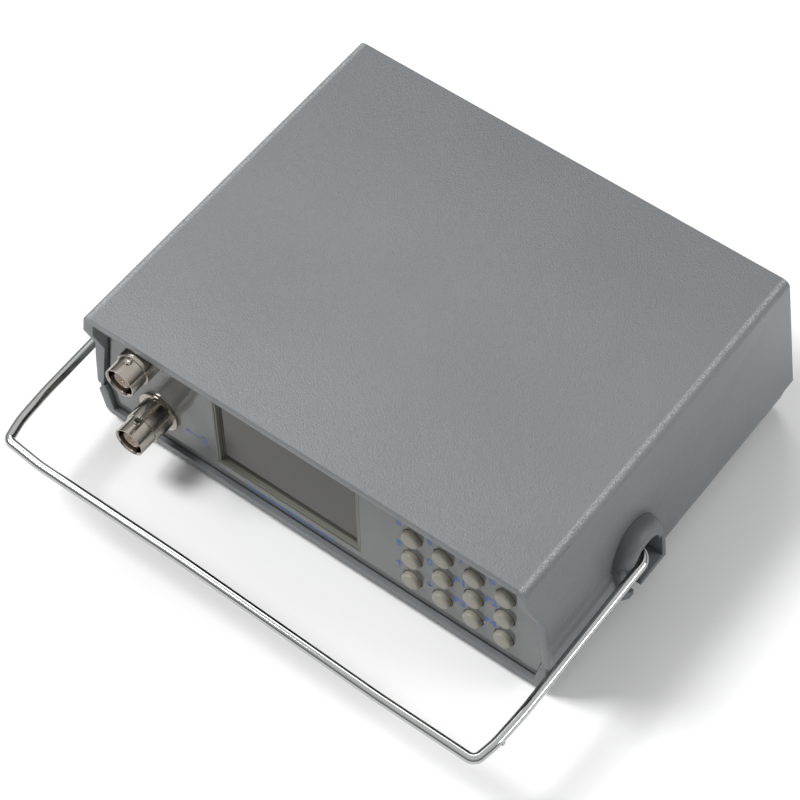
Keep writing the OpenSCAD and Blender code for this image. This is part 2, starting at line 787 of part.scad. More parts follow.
// Screened leads from the jacks' tails back to the shield box
module coax_leads() {
    tail_y = overlay_y + stem_len + 1;
    turn_r = 4;
    drop_y = box_y0 - turn_r - lead_r;
    low_z = board_top + box_h - 4;
    color([0.15, 0.15, 0.16]) in_frame() {
        difference() {
            bar_y(jack_x, lower_jack_z, tail_y, box_y0, lead_r);
            bar_y(jack_x, lower_jack_z, tail_y - slack, tail_y + 3.6, contact_r + fit_gap);
        }
        difference() {
            bar_y(jack_x, upper_jack_z, tail_y, drop_y - turn_r, lead_r);
            bar_y(jack_x, upper_jack_z, tail_y - slack, tail_y + 3.6, contact_r + fit_gap);
        }
        translate([jack_x, drop_y - turn_r, upper_jack_z - turn_r]) rotate([0, -90, 0])
            rotate([0, 0, 0]) rotate_extrude(angle = 90) translate([turn_r, 0]) circle(r = lead_r);
        translate([jack_x, drop_y, low_z + turn_r])
            cylinder(r = lead_r, h = upper_jack_z - low_z - 2 * turn_r);
        translate([jack_x, drop_y + turn_r, low_z + turn_r]) rotate([0, -90, 0])
            rotate([0, 0, 180]) rotate_extrude(angle = 90) translate([turn_r, 0]) circle(r = lead_r);
        bar_y(jack_x, low_z, drop_y + turn_r, box_y0, lead_r);
    }
}

module main_board() {
    color([0.10, 0.33, 0.20]) in_frame() difference() {
        translate([-board_x - 7.6, board_y0, board_z])
            cube([2 * board_x + 15.2, board_ys[1] + 4 - board_y0, board_t]);
        for (x = [-board_x, board_x], y = board_ys)
            translate([x, y, board_z - slack]) cylinder(r = 1.3, h = board_t + 2 * slack);
    }
}

// Tinned box over the radio-frequency stage, with a fence across its middle
module shield_box() {
    color([0.74, 0.74, 0.72]) in_frame() difference() {
        translate([box_x0, box_y0, board_top]) cube([box_w, box_d, box_h]);
        translate([box_x0 + sheet, box_y0 + sheet, board_top - slack])
            cube([box_w - 2 * sheet, box_d / 2 - 1.5 * sheet, box_h + 2 * slack]);
        translate([box_x0 + sheet, box_y0 + box_d / 2 + sheet / 2, board_top - slack])
            cube([box_w - 2 * sheet, box_d / 2 - 1.5 * sheet, box_h + 2 * slack]);
    }
}

module shield_lid() {
    color([0.78, 0.78, 0.76]) in_frame() difference() {
        translate([box_x0 - sheet, box_y0 - sheet, board_top + box_h])
            cube([box_w + 2 * sheet, box_d + 2 * sheet, sheet]);
        for (i = [0 : 3]) translate([box_x0 + 10 + i * 12, box_y0 + box_d / 4, board_top])
            cylinder(r = 2.2, h = box_h + 4);
    }
}

chip_w = 20;
chip_t = 2;
chip_x = 12;
chip_y = box_y0 + 10;
can_r = 4;
can_h = 12;
can_y = case_d - 21;

module board_chips() {
    half_w = chip_w / 2;
    color([0.14, 0.14, 0.15]) in_frame() {
        translate([chip_x, chip_y, board_top]) cube([chip_w, chip_w, chip_t]);
        translate([chip_x, can_y - chip_w, board_top]) cube([chip_w * 0.7, half_w - 1, chip_t]);
        translate([chip_x + chip_w + 6, chip_y + half_w, board_top])
            cube([half_w, half_w - 2, chip_t]);
        for (i = [0 : 2]) translate([chip_x - 14, chip_y + i * 9, board_top])
            cube([8, 5, chip_t * 0.8]);
        translate([chip_x + chip_w + 8, chip_y, board_top]) cube([half_w, 4.6, chip_t * 5]);
    }
}

module capacitors() {
    small_r = can_r * 0.8;
    color([0.20, 0.22, 0.30]) in_frame() {
        for (i = [0 : 2]) translate([chip_x - 2 + i * 2.5 * can_r, can_y, board_top])
            cylinder(r = can_r, h = can_h);
        for (i = [0 : 1]) translate([chip_x - 16 - i * 2.8 * small_r, can_y, board_top])
            cylinder(r = small_r, h = can_h * 0.7);
    }
}

ribbon_w = 16;
ribbon_t = 0.8;
ribbon_z = row_zs[3];
ribbon_xs = [box_x0 + box_w + 3, key_x - 3];
header_y = board_y0 + 3;

// Flat leads from the display and the keypad back to the main board
module panel_ribbons() {
    color([0.62, 0.62, 0.64]) in_frame() {
        translate([ribbon_xs[0], display_y + 1.6, ribbon_z])
            cube([ribbon_w, header_y - display_y - 1.6, ribbon_t]);
        translate([ribbon_xs[1], keypad_y + 1.6, ribbon_z])
            cube([ribbon_w, header_y - keypad_y - 1.6, ribbon_t]);
    }
}

// Headers on the main board that the flat leads plug in to
module ribbon_headers() {
    color([0.80, 0.79, 0.74]) in_frame() for (x = ribbon_xs)
        translate([x - 1, header_y, board_top]) cube([ribbon_w + 2, 5, ribbon_z + 2 - board_top]);
}

// ---- fixings and feet ----

module rubber_feet() {
    color([0.10, 0.10, 0.10]) in_frame()
        for (x = [-foot_x, foot_x], y = [foot_inset, case_d - foot_inset + 3])
            translate([x, y, 0]) rotate_extrude() polygon([
                [0, 0], [foot_dia / 2 - 1.2, 0], [foot_dia / 2 - 0.4, 0.7],
                [foot_dia / 2, foot_h], [0, foot_h]]);
}

module case_screws() {
    color([0.55, 0.55, 0.54]) in_frame() for (x = [-screw_x, screw_x], y = screw_ys) {
        translate([x, y, tray_z]) difference() {
            cylinder(r = 2.9, h = 1.6);
            translate([-2, -0.35, -slack]) cube([4, 0.7, slack + 0.8]);
            translate([-0.35, -2, -slack]) cube([0.7, 4, slack + 0.8]);
        }
        translate([x, y, tray_z + 1.6]) cylinder(r = pilot_r - 0.02, h = tray_h + 8);
    }
}

module board_screws() {
    color([0.66, 0.66, 0.64]) in_frame() {
        for (x = [-board_x, board_x], y = board_ys) {
            translate([x, y, board_top]) cylinder(r = 2.4, h = 1.4);
            translate([x, y, board_top - 5]) cylinder(r = 0.95, h = 5);
        }
        for (x = cell_xs, z = cell_zs) {
            bar_y(x, z, keypad_y + 1.6, keypad_y + 2.8, 1.9);
            bar_y(x, z, keypad_y - 3, keypad_y + 1.6, 0.85);
        }
        for (x = display_post_xs, z = display_post_zs) {
            bar_y(x, z, display_y + 1.6, display_y + 2.8, 1.9);
            bar_y(x, z, display_y - 2, display_y + 1.6, 0.85);
        }
    }
}

top_cover();
bottom_tray();
front_panel();
panel_overlay();
rear_panel();
left_hub();
right_hub();
bail();
display_bezel();
display_glass();
display_board();
keypad_board();
key_switches();
key(0, 0);  // key_1
key(1, 0);  // key_2
key(2, 0);  // key_3
key(3, 0);  // key_4
key(0, 1);  // key_5
key(1, 1);  // key_6
key(2, 1);  // key_7
key(3, 1);  // key_8
key(0, 2);  // key_9
key(1, 2);  // key_0
key(2, 2);  // key_f1
key(3, 2);  // key_f2
key(0, 3);  // key_up
key(1, 3);  // key_down
key(2, 3);  // key_f3
key(3, 3);  // key_f4
jack_shell(upper_jack_z);  // upper_jack_shell
jack_insulator(upper_jack_z);  // upper_jack_insulator
jack_contact(upper_jack_z);  // upper_jack_contact
jack_shell(lower_jack_z);  // lower_jack_shell
jack_insulator(lower_jack_z);  // lower_jack_insulator
jack_contact(lower_jack_z);  // lower_jack_contact
jack_washers();
jack_nuts();
coax_leads();
main_board();
shield_box();
shield_lid();
board_chips();
capacitors();
panel_ribbons();
ribbon_headers();
power_inlet();
inlet_nut();
switch_body();
switch_rocker();
rubber_feet();
case_screws();
board_screws();
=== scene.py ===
import json
import math
import bpy
from mathutils import Matrix, Vector
from mathutils.bvhtree import BVHTree


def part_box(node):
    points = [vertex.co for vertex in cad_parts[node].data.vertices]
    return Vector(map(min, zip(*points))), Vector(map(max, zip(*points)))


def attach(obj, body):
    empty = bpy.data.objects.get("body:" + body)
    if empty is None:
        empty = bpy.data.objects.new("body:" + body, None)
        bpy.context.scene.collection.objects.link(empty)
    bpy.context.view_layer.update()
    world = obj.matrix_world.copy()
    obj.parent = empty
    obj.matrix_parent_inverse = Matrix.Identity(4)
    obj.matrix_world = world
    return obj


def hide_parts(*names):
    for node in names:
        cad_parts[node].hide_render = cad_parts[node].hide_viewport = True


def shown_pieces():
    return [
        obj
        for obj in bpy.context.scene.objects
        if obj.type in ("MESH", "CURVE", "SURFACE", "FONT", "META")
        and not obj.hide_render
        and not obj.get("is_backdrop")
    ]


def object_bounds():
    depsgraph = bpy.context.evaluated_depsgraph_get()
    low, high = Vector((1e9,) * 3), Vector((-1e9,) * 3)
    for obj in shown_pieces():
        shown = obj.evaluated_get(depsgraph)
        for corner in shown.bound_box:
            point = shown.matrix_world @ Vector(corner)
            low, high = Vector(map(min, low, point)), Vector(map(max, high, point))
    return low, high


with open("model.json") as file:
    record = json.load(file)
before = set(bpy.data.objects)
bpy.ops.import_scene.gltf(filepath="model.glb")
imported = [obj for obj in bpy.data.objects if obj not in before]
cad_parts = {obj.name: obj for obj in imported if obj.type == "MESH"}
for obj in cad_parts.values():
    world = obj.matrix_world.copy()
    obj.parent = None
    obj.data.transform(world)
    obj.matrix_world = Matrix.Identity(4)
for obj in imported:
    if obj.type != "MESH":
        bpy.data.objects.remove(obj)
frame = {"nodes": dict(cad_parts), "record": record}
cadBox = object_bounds()
nodes = frame["nodes"]
mm = 0.001
bpy.ops.object.select_all(action="DESELECT")

imageW, imageH = 800, 800
longSide = max(imageW, imageH)

camera = {
    "azimuth": 37.983,
    "elevation": 55.305,
    "roll": -1.115,
    "lens": 125.906,
    "sensor": 36.0,
    "place": (0.27092, -0.30287, 0.60764),   # from the middle of the visor's edge, at the top
    "shift": (0.0, 0.0),
    "clip": (0.01, 20),
}

# Places in the photograph, in pixels from its top left corner
imagePoints = {
    "left": 5.4,
    "right": 790.9,
    "top": 42.6,
    "bottom": 765.4,
    "top_front_right": (526.9, 594.4),
    "window_left": (218.9, 460.7),
    "window_right": (360.7, 551.9),
    "key_9": (410.8, 560.6),
    "key_f4": (502.0, 639.9),
    "key_up": (410.2, 581.0),
    "key_8": (503.9, 599.7),
    "lower_jack": (128.5, 442.2),
    "upper_jack": (118.5, 382.4),
    "lower_lug": (136.8, 421.1),
    "label_6": (429.2, 541.7),
    "label_f4": (490.5, 622.0),
    "jack_mark": (198.0, 436.5),
    "scale_mark": (290.5, 512.3),
    "weld_burr": (503.8, 744.2),
}

# The visor's edge, the height of the top, and half the width of the top's flat face
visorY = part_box("top_cover")[0].y
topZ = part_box("top_cover")[1].z
coverHalf = max(v.co.x for v in nodes["top_cover"].data.vertices if v.co.z > topZ - 0.1 * mm)


def makeCamera():
    a, e, r = (math.radians(camera[k]) for k in ("azimuth", "elevation", "roll"))
    back = Vector((math.sin(a) * math.cos(e), -math.cos(a) * math.cos(e), math.sin(e)))
    side = (-back).cross(Vector((0, 0, 1))).normalized()
    up = side.cross(-back)
    right = math.cos(r) * side + math.sin(r) * up
    up = math.cos(r) * up - math.sin(r) * side
    place = Matrix((right, up, back)).transposed().to_4x4()
    x, y, z = camera["place"]
    place.translation = Vector((x, visorY + y, topZ + z))
    bpy.ops.object.camera_add()
    cam = bpy.context.object
    cam.name = "camera"
    cam.matrix_world = place
    cam.data.sensor_fit = "AUTO"
    cam.data.sensor_width = camera["sensor"]
    cam.data.lens = camera["lens"]
    cam.data.shift_x, cam.data.shift_y = camera["shift"]
    cam.data.clip_start, cam.data.clip_end = camera["clip"]
    bpy.context.scene.camera = cam
    return cam


camPlace = makeCamera().matrix_world.copy()
print("camera: placed")


def rayThrough(x, y):
    shiftX, shiftY = camera["shift"]
    along = Vector((x - imageW / 2 + shiftX * longSide, imageH / 2 - y + shiftY * longSide,
                    -longSide * camera["lens"] / camera["sensor"]))
    return camPlace.translation, (camPlace.to_3x3() @ along).normalized()


def project(point):
    p = camPlace.inverted() @ point
    scale = longSide * camera["lens"] / camera["sensor"] / -p.z
    return (imageW / 2 - camera["shift"][0] * longSide + p.x * scale,
            imageH / 2 + camera["shift"][1] * longSide - p.y * scale)


def treeOf(obj):
    return BVHTree.FromObject(obj, bpy.context.evaluated_depsgraph_get())


# Where an image point's ray meets a surface or, if it passes by, the nearest place on it
search = {"start": 0.4, "step": 0.0015, "count": 400}   # metres along the ray


def placeOn(tree, name):
    origin, along = rayThrough(*imagePoints[name])
    point = tree.ray_cast(origin, along)[0]
    if point is not None:
        return point
    tries = (tree.find_nearest(origin + along * (search["start"] + search["step"] * i))
             for i in range(search["count"]))
    return min(tries, key=lambda found: found[3])[0]


def addNode(tree, kind, inputs=None, **settings):
    node = tree.nodes.new(kind)
    for key, value in settings.items():
        setattr(node, key, value)
    for key, value in (inputs or {}).items():
        node.inputs[key].default_value = value
    return node


def newGroup(name, inputs, outputs):
    tree = bpy.data.node_groups.new(name, "ShaderNodeTree")
    for label, kind, value in inputs:
        socket = tree.interface.new_socket(name=label, in_out="INPUT", socket_type=kind)
        if value is not None:
            socket.default_value = value
    for label, kind in outputs:
        tree.interface.new_socket(name=label, in_out="OUTPUT", socket_type=kind)
    return tree, addNode(tree, "NodeGroupInput"), addNode(tree, "NodeGroupOutput")


def mixColours(tree, factor, first, second):
    node = addNode(tree, "ShaderNodeMix", data_type="RGBA")
    tree.links.new(factor, node.inputs["Factor"])
    for source, socket in ((first, node.inputs["A"]), (second, node.inputs["B"])):
        tree.links.new(source, socket)
    return node.outputs["Result"]


def mapRange(tree, source, low, high):
    node = addNode(tree, "ShaderNodeMapRange")
    tree.links.new(source, node.inputs["Value"])
    for socket, value in (("To Min", low), ("To Max", high)):
        if isinstance(value, (int, float)):
            node.inputs[socket].default_value = value
        else:
            tree.links.new(value, node.inputs[socket])
    return node.outputs["Result"]


floatKind, colourKind, vectorKind = "NodeSocketFloat", "NodeSocketColor", "NodeSocketVector"
skinOutputs = [("Color", colourKind), ("Roughness", floatKind), ("Normal", vectorKind)]


# Moulded plastic: pebbled grain, a fine tooth over it, painted shade in the hollows between the
# pebbles and slow changes of tone
def mouldedGroup():
    tree, given, result = newGroup("moulded_skin", [
        ("Light", colourKind, (0.3, 0.3, 0.3, 1)), ("Dark", colourKind, (0.2, 0.2, 0.2, 1)),
        ("Pebbles", floatKind, 1200.0), ("Depth", floatKind, 0.00004), ("Smooth", floatKind, 0.4),
        ("Rough", floatKind, 0.6)], skinOutputs)
    link = tree.links.new
    place = addNode(tree, "ShaderNodeTexCoord").outputs["Object"]
    warp = addNode(tree, "ShaderNodeTexNoise", {"Scale": 700.0, "Detail": 1.0})
    link(place, warp.inputs["Vector"])
    push = addNode(tree, "ShaderNodeVectorMath", {"Scale": 0.0008}, operation="SCALE")
    link(warp.outputs["Color"], push.inputs[0])
    shifted = addNode(tree, "ShaderNodeVectorMath", operation="ADD")
    link(place, shifted.inputs[0])
    link(push.outputs["Vector"], shifted.inputs[1])
    pebbles = addNode(tree, "ShaderNodeTexVoronoi", {"Smoothness": 0.6}, feature="SMOOTH_F1")
    link(shifted.outputs["Vector"], pebbles.inputs["Vector"])
    link(given.outputs["Pebbles"], pebbles.inputs["Scale"])
    fine = addNode(tree, "ShaderNodeTexNoise", {"Detail": 3.0, "Roughness": 0.6, "Scale": 3800.0})
    link(place, fine.inputs["Vector"])
    height = addNode(tree, "ShaderNodeMath", {1: 0.7}, operation="MULTIPLY_ADD")
    link(fine.outputs["Fac"], height.inputs[0])
    low = addNode(tree, "ShaderNodeMath", {0: 1.0}, operation="SUBTRACT")
    link(pebbles.outputs["Distance"], low.inputs[1])
    link(low.outputs["Value"], height.inputs[2])
    bump = addNode(tree, "ShaderNodeBump", {"Strength": 1.0})
    link(height.outputs["Value"], bump.inputs["Height"])
    link(given.outputs["Depth"], bump.inputs["Distance"])
    link(bump.outputs["Normal"], result.inputs["Normal"])
    slow = addNode(tree, "ShaderNodeTexNoise", {"Scale": 22.0, "Detail": 4.0, "Roughness": 0.55})
    link(place, slow.inputs["Vector"])
    # Painted shade: the colour darkens in the hollows between the pebbles, mixed with slow random
    # changes of tone
    hollowShadeAndTone = addNode(tree, "ShaderNodeMath", {1: 0.5}, operation="MULTIPLY_ADD")
    link(pebbles.outputs["Distance"], hollowShadeAndTone.inputs[0])
    half = addNode(tree, "ShaderNodeMath", {1: 0.7}, operation="MULTIPLY")
    link(slow.outputs["Fac"], half.inputs[0])
    link(half.outputs["Value"], hollowShadeAndTone.inputs[2])
    link(mixColours(tree, hollowShadeAndTone.outputs["Value"], given.outputs["Light"], given.outputs["Dark"]),
         result.inputs["Color"])
    link(mapRange(tree, slow.outputs["Fac"], given.outputs["Smooth"], given.outputs["Rough"]),
         result.inputs["Roughness"])
    return tree


# Plated or bare metal: drawn scratches, clouded finish and faint dents
def metalGroup():
    tree, given, result = newGroup("metal_skin", [
        ("Light", colourKind, (0.8, 0.8, 0.8, 1)), ("Dark", colourKind, (0.6, 0.6, 0.6, 1)),
        ("Stretch", vectorKind, (1.0, 1.0, 1.0)), ("Depth", floatKind, 0.000002),
        ("Smooth", floatKind, 0.08), ("Rough", floatKind, 0.25)], skinOutputs)
    link = tree.links.new
    place = addNode(tree, "ShaderNodeTexCoord").outputs["Object"]
    drawn = addNode(tree, "ShaderNodeVectorMath", operation="MULTIPLY")
    link(place, drawn.inputs[0])
    link(given.outputs["Stretch"], drawn.inputs[1])
    lines = addNode(tree, "ShaderNodeTexNoise", {"Scale": 1500.0, "Detail": 4.0})
    link(drawn.outputs["Vector"], lines.inputs["Vector"])
    cloud = addNode(tree, "ShaderNodeTexNoise", {"Scale": 160.0, "Detail": 3.0})
    link(place, cloud.inputs["Vector"])
    bump = addNode(tree, "ShaderNodeBump", {"Strength": 0.6})
    link(lines.outputs["Fac"], bump.inputs["Height"])
    link(given.outputs["Depth"], bump.inputs["Distance"])
    link(bump.outputs["Normal"], result.inputs["Normal"])
    link(mixColours(tree, cloud.outputs["Fac"], given.outputs["Light"], given.outputs["Dark"]),
         result.inputs["Color"])
    mixed = addNode(tree, "ShaderNodeMath", operation="MULTIPLY")
    link(lines.outputs["Fac"], mixed.inputs[0])
    link(cloud.outputs["Fac"], mixed.inputs[1])
    link(mapRange(tree, mixed.outputs["Value"], given.outputs["Smooth"], given.outputs["Rough"]),
         result.inputs["Roughness"])
    return tree


# Circuit board: lacquer over square-cornered copper runs
def boardGroup():
    tree, given, result = newGroup("board_skin", [
        ("Light", colourKind, (0.08, 0.3, 0.16, 1)), ("Dark", colourKind, (0.03, 0.15, 0.08, 1)),
        ("Depth", floatKind, 0.00003), ("Smooth", floatKind, 0.25), ("Rough", floatKind, 0.5)],
        skinOutputs)
    link = tree.links.new
    place = addNode(tree, "ShaderNodeTexCoord").outputs["Object"]
    runs = addNode(tree, "ShaderNodeTexVoronoi", {"Scale": 260.0}, distance="CHEBYCHEV")
    link(place, runs.inputs["Vector"])
    edge = addNode(tree, "ShaderNodeMath", {1: 0.34}, operation="GREATER_THAN")
    link(runs.outputs["Distance"], edge.inputs[0])
    bump = addNode(tree, "ShaderNodeBump", {"Strength": 0.8})
    link(edge.outputs["Value"], bump.inputs["Height"])
    link(given.outputs["Depth"], bump.inputs["Distance"])
    link(bump.outputs["Normal"], result.inputs["Normal"])
    link(mixColours(tree, edge.outputs["Value"], given.outputs["Light"], given.outputs["Dark"]),
         result.inputs["Color"])
    link(mapRange(tree, runs.outputs["Distance"], given.outputs["Smooth"], given.outputs["Rough"]),
         result.inputs["Roughness"])
    return tree


# Painted highlight: pale specks along the two long upper edges, standing in for the glints of
# light there, where |x| and z are the edge's
def edgeGlintGroup():
    tree, given, result = newGroup("painted_edge_glints", [
        ("Color", colourKind, (0.2, 0.2, 0.2, 1)), ("Glint", colourKind, (0.5, 0.5, 0.5, 1)),
        ("Edge X", floatKind, 0.07), ("Edge Z", floatKind, 0.06), ("Reach", floatKind, 0.001),
        ("Grain", floatKind, 2600.0)], [("Color", colourKind)])
    link = tree.links.new
    place = addNode(tree, "ShaderNodeTexCoord").outputs["Object"]
    parts = addNode(tree, "ShaderNodeSeparateXYZ")
    link(place, parts.inputs["Vector"])
    aside = addNode(tree, "ShaderNodeMath", operation="ABSOLUTE")
    link(parts.outputs["X"], aside.inputs[0])
    offX = addNode(tree, "ShaderNodeMath", operation="SUBTRACT")
    link(aside.outputs["Value"], offX.inputs[0])
    link(given.outputs["Edge X"], offX.inputs[1])
    offZ = addNode(tree, "ShaderNodeMath", operation="SUBTRACT")
    link(parts.outputs["Z"], offZ.inputs[0])
    link(given.outputs["Edge Z"], offZ.inputs[1])
    off = addNode(tree, "ShaderNodeCombineXYZ")
    link(offX.outputs["Value"], off.inputs["X"])
    link(offZ.outputs["Value"], off.inputs["Z"])
    away = addNode(tree, "ShaderNodeVectorMath", operation="LENGTH")
    link(off.outputs["Vector"], away.inputs[0])
    share = addNode(tree, "ShaderNodeMath", operation="DIVIDE")
    link(away.outputs["Value"], share.inputs[0])
    link(given.outputs["Reach"], share.inputs[1])
    near = addNode(tree, "ShaderNodeMapRange", {
        "From Min": 0.35, "From Max": 1.0, "To Min": 1.0, "To Max": 0.0})
    link(share.outputs["Value"], near.inputs["Value"])
    grain = addNode(tree, "ShaderNodeTexNoise", {"Detail": 2.0, "Roughness": 0.6})
    link(place, grain.inputs["Vector"])
    link(given.outputs["Grain"], grain.inputs["Scale"])
    specks = addNode(tree, "ShaderNodeMapRange", {"From Min": 0.40, "From Max": 0.60})
    link(grain.outputs["Fac"], specks.inputs["Value"])
    mask = addNode(tree, "ShaderNodeMath", operation="MULTIPLY")
    link(near.outputs["Result"], mask.inputs[0])
    link(specks.outputs["Result"], mask.inputs[1])
    link(mixColours(tree, mask.outputs["Value"], given.outputs["Color"], given.outputs["Glint"]),
         result.inputs["Color"])
    return tree


groups = {"moulded": mouldedGroup(), "metal": metalGroup(), "board": boardGroup(),
          "painted_glint": edgeGlintGroup()}
print("shader groups:", len(groups))

# Colours are linear; sizes of grain are pebbles per metre, depths are in metres
looks = {
    "case_plastic": {
        "kind": "moulded", "light": (0.176, 0.190, 0.197), "dark": (0.134, 0.145, 0.151),
        "pebbles": 2050, "depth": 0.00011, "smooth": 0.32, "rough": 0.46,
        # Painted highlight: pale specks along the cover's two long upper edges, for the glints of
        # light there
        "painted_glint": {"glint": (0.35, 0.365, 0.37), "edge x": coverHalf - 0.15 * mm,
                  "edge z": topZ - 0.25 * mm, "reach": 0.95 * mm, "grain": 2600.0}},
    "hub_plastic": {
        "kind": "moulded", "light": (0.132, 0.146, 0.154), "dark": (0.102, 0.115, 0.122),
        "pebbles": 2600, "depth": 0.00001, "smooth": 0.40, "rough": 0.54},
    "panel_plastic": {
        "kind": "moulded", "light": (0.060, 0.062, 0.064), "dark": (0.040, 0.042, 0.043),
        "pebbles": 2000, "depth": 0.00001, "smooth": 0.40, "rough": 0.55},
    "overlay_film": {
        "kind": "moulded", "light": (0.142, 0.147, 0.147), "dark": (0.128, 0.132, 0.133),
        "pebbles": 420, "depth": 0.000002, "smooth": 0.03, "rough": 0.07},
    "rear_plate": {
        "kind": "moulded", "light": (0.21, 0.22, 0.23), "dark": (0.15, 0.16, 0.17),
        "pebbles": 3200, "depth": 0.00003, "smooth": 0.45, "rough": 0.65},
    "bail_chrome": {
        "kind": "metal", "light": (0.48, 0.49, 0.485), "dark": (0.37, 0.38, 0.375),
        "stretch": (1.0, 1.0, 1.0), "depth": 0.000002, "smooth": 0.03, "rough": 0.17},
    "bezel_plastic": {
        "kind": "moulded", "light": (0.176, 0.179, 0.153), "dark": (0.140, 0.143, 0.121),
        "pebbles": 2400, "depth": 0.00001, "smooth": 0.38, "rough": 0.55},
    "display_glass": {
        "kind": "moulded", "light": (0.086, 0.083, 0.072), "dark": (0.074, 0.071, 0.061),
        "pebbles": 300, "depth": 0.000001, "smooth": 0.06, "rough": 0.12},
    "circuit_board": {
        "kind": "board", "light": (0.06, 0.24, 0.13), "dark": (0.03, 0.14, 0.075),
        "depth": 0.00003, "smooth": 0.25, "rough": 0.5},
    "black_plastic": {
        "kind": "moulded", "light": (0.040, 0.040, 0.043), "dark": (0.022, 0.022, 0.024),
        "pebbles": 2200, "depth": 0.00002, "smooth": 0.32, "rough": 0.52},
    "key_plastic": {
        "kind": "moulded", "light": (0.308, 0.292, 0.244), "dark": (0.268, 0.254, 0.211),
        "pebbles": 1600, "depth": 0.000008, "smooth": 0.38, "rough": 0.52},
    "nickel": {
        "kind": "metal", "light": (0.46, 0.425, 0.38), "dark": (0.27, 0.245, 0.215),
        "stretch": (1.0, 0.12, 1.0), "depth": 0.000002, "smooth": 0.09, "rough": 0.30},
    "jack_insulator": {
        "kind": "moulded", "light": (0.30, 0.225, 0.190), "dark": (0.235, 0.175, 0.148),
        "pebbles": 1800, "depth": 0.000006, "smooth": 0.32, "rough": 0.48},
    "contact_brass": {
        "kind": "metal", "light": (0.40, 0.31, 0.22), "dark": (0.28, 0.21, 0.145),
        "stretch": (1.0, 0.2, 1.0), "depth": 0.000001, "smooth": 0.15, "rough": 0.35},
    "lead_jacket": {
        "kind": "moulded", "light": (0.05, 0.05, 0.055), "dark": (0.03, 0.03, 0.033),
        "pebbles": 1800, "depth": 0.00002, "smooth": 0.45, "rough": 0.62},
    "tinned_steel": {
        "kind": "metal", "light": (0.66, 0.66, 0.64), "dark": (0.50, 0.50, 0.49),
        "stretch": (0.15, 1.0, 1.0), "depth": 0.000004, "smooth": 0.25, "rough": 0.5},
    "capacitor_can": {
        "kind": "moulded", "light": (0.07, 0.09, 0.16), "dark": (0.04, 0.055, 0.10),
        "pebbles": 900, "depth": 0.00001, "smooth": 0.22, "rough": 0.4},
    "ribbon_film": {
        "kind": "moulded", "light": (0.38, 0.38, 0.40), "dark": (0.28, 0.28, 0.30),
        "pebbles": 900, "depth": 0.00002, "smooth": 0.4, "rough": 0.6},
    "header_plastic": {
        "kind": "moulded", "light": (0.66, 0.65, 0.60), "dark": (0.56, 0.55, 0.50),
        "pebbles": 1600, "depth": 0.00001, "smooth": 0.4, "rough": 0.55},
    "rubber": {
        "kind": "moulded", "light": (0.035, 0.035, 0.035), "dark": (0.02, 0.02, 0.02),
        "pebbles": 1500, "depth": 0.00004, "smooth": 0.6, "rough": 0.8},
    "screw_steel": {
        "kind": "metal", "light": (0.58, 0.58, 0.56), "dark": (0.42, 0.42, 0.41),
        "stretch": (1.0, 1.0, 0.3), "depth": 0.000004, "smooth": 0.22, "rough": 0.45},
    "screen_area": {
        "kind": "moulded", "light": (0.026, 0.023, 0.020), "dark": (0.022, 0.019, 0.016),
        "pebbles": 300, "depth": 0.000001, "smooth": 0.05, "rough": 0.10},
    "print_blue": {
        "kind": "moulded", "light": (0.032, 0.140, 0.44), "dark": (0.024, 0.110, 0.36),
        "pebbles": 1500, "depth": 0.000002, "smooth": 0.35, "rough": 0.5},
}


def makeMaterial(name, look):
    material = bpy.data.materials.new(name)
    material.use_nodes = True
    tree = material.node_tree
    shader = tree.nodes["Principled BSDF"]
    shader.inputs["Metallic"].default_value = 1.0 if look["kind"] == "metal" else 0.0
    skin = addNode(tree, "ShaderNodeGroup", node_tree=groups[look["kind"]])
    for key in ("light", "dark"):
        skin.inputs[key.title()].default_value = (*look[key], 1)
    for key in ("depth", "smooth", "rough", "pebbles", "stretch"):
        if key in look:
            skin.inputs[key.title()].default_value = look[key]
    colour = skin.outputs["Color"]
    # Painted highlight: pale specks mixed into the colour along the upper edges, for their glints
    # of light
    if "painted_glint" in look:
        glint = addNode(tree, "ShaderNodeGroup", node_tree=groups["painted_glint"])
        tree.links.new(colour, glint.inputs["Color"])
        glint.inputs["Glint"].default_value = (*look["painted_glint"]["glint"], 1)
        for key in ("edge x", "edge z", "reach", "grain"):
            glint.inputs[key.title()].default_value = look["painted_glint"][key]
        colour = glint.outputs["Color"]
    tree.links.new(colour, shader.inputs["Base Color"])
    tree.links.new(skin.outputs["Roughness"], shader.inputs["Roughness"])
    tree.links.new(skin.outputs["Normal"], shader.inputs["Normal"])
    return material


materials = {name: makeMaterial(name, look) for name, look in looks.items()}
slotOf = {row["node"]: row["material_slot"] for row in frame["record"]["subparts"]}
for name, obj in nodes.items():
    obj.data.materials.clear()
    obj.data.materials.append(materials[slotOf[name]])
print("materials:", len(materials))


def only(obj):
    bpy.ops.object.select_all(action="DESELECT")
    obj.select_set(True)
    bpy.context.view_layer.objects.active = obj


def applied(obj):
    only(obj)
    bpy.ops.object.transform_apply(location=True, rotation=True, scale=True)
    return obj


# Merges doubles, closes open ends and turns every face outwards
def cleaned(obj, merge=1e-6, flat=0.0, close=False):
    only(obj)
    bpy.ops.object.mode_set(mode="EDIT")
    bpy.ops.mesh.select_all(action="SELECT")
    bpy.ops.mesh.remove_doubles(threshold=merge)
    if flat:
        bpy.ops.mesh.dissolve_limited(angle_limit=math.radians(flat))
    if close:
        bpy.ops.mesh.fill_holes(sides=0)
        bpy.ops.mesh.select_all(action="SELECT")
    bpy.ops.mesh.normals_make_consistent(inside=False)
    bpy.ops.object.mode_set(mode="OBJECT")
    return obj


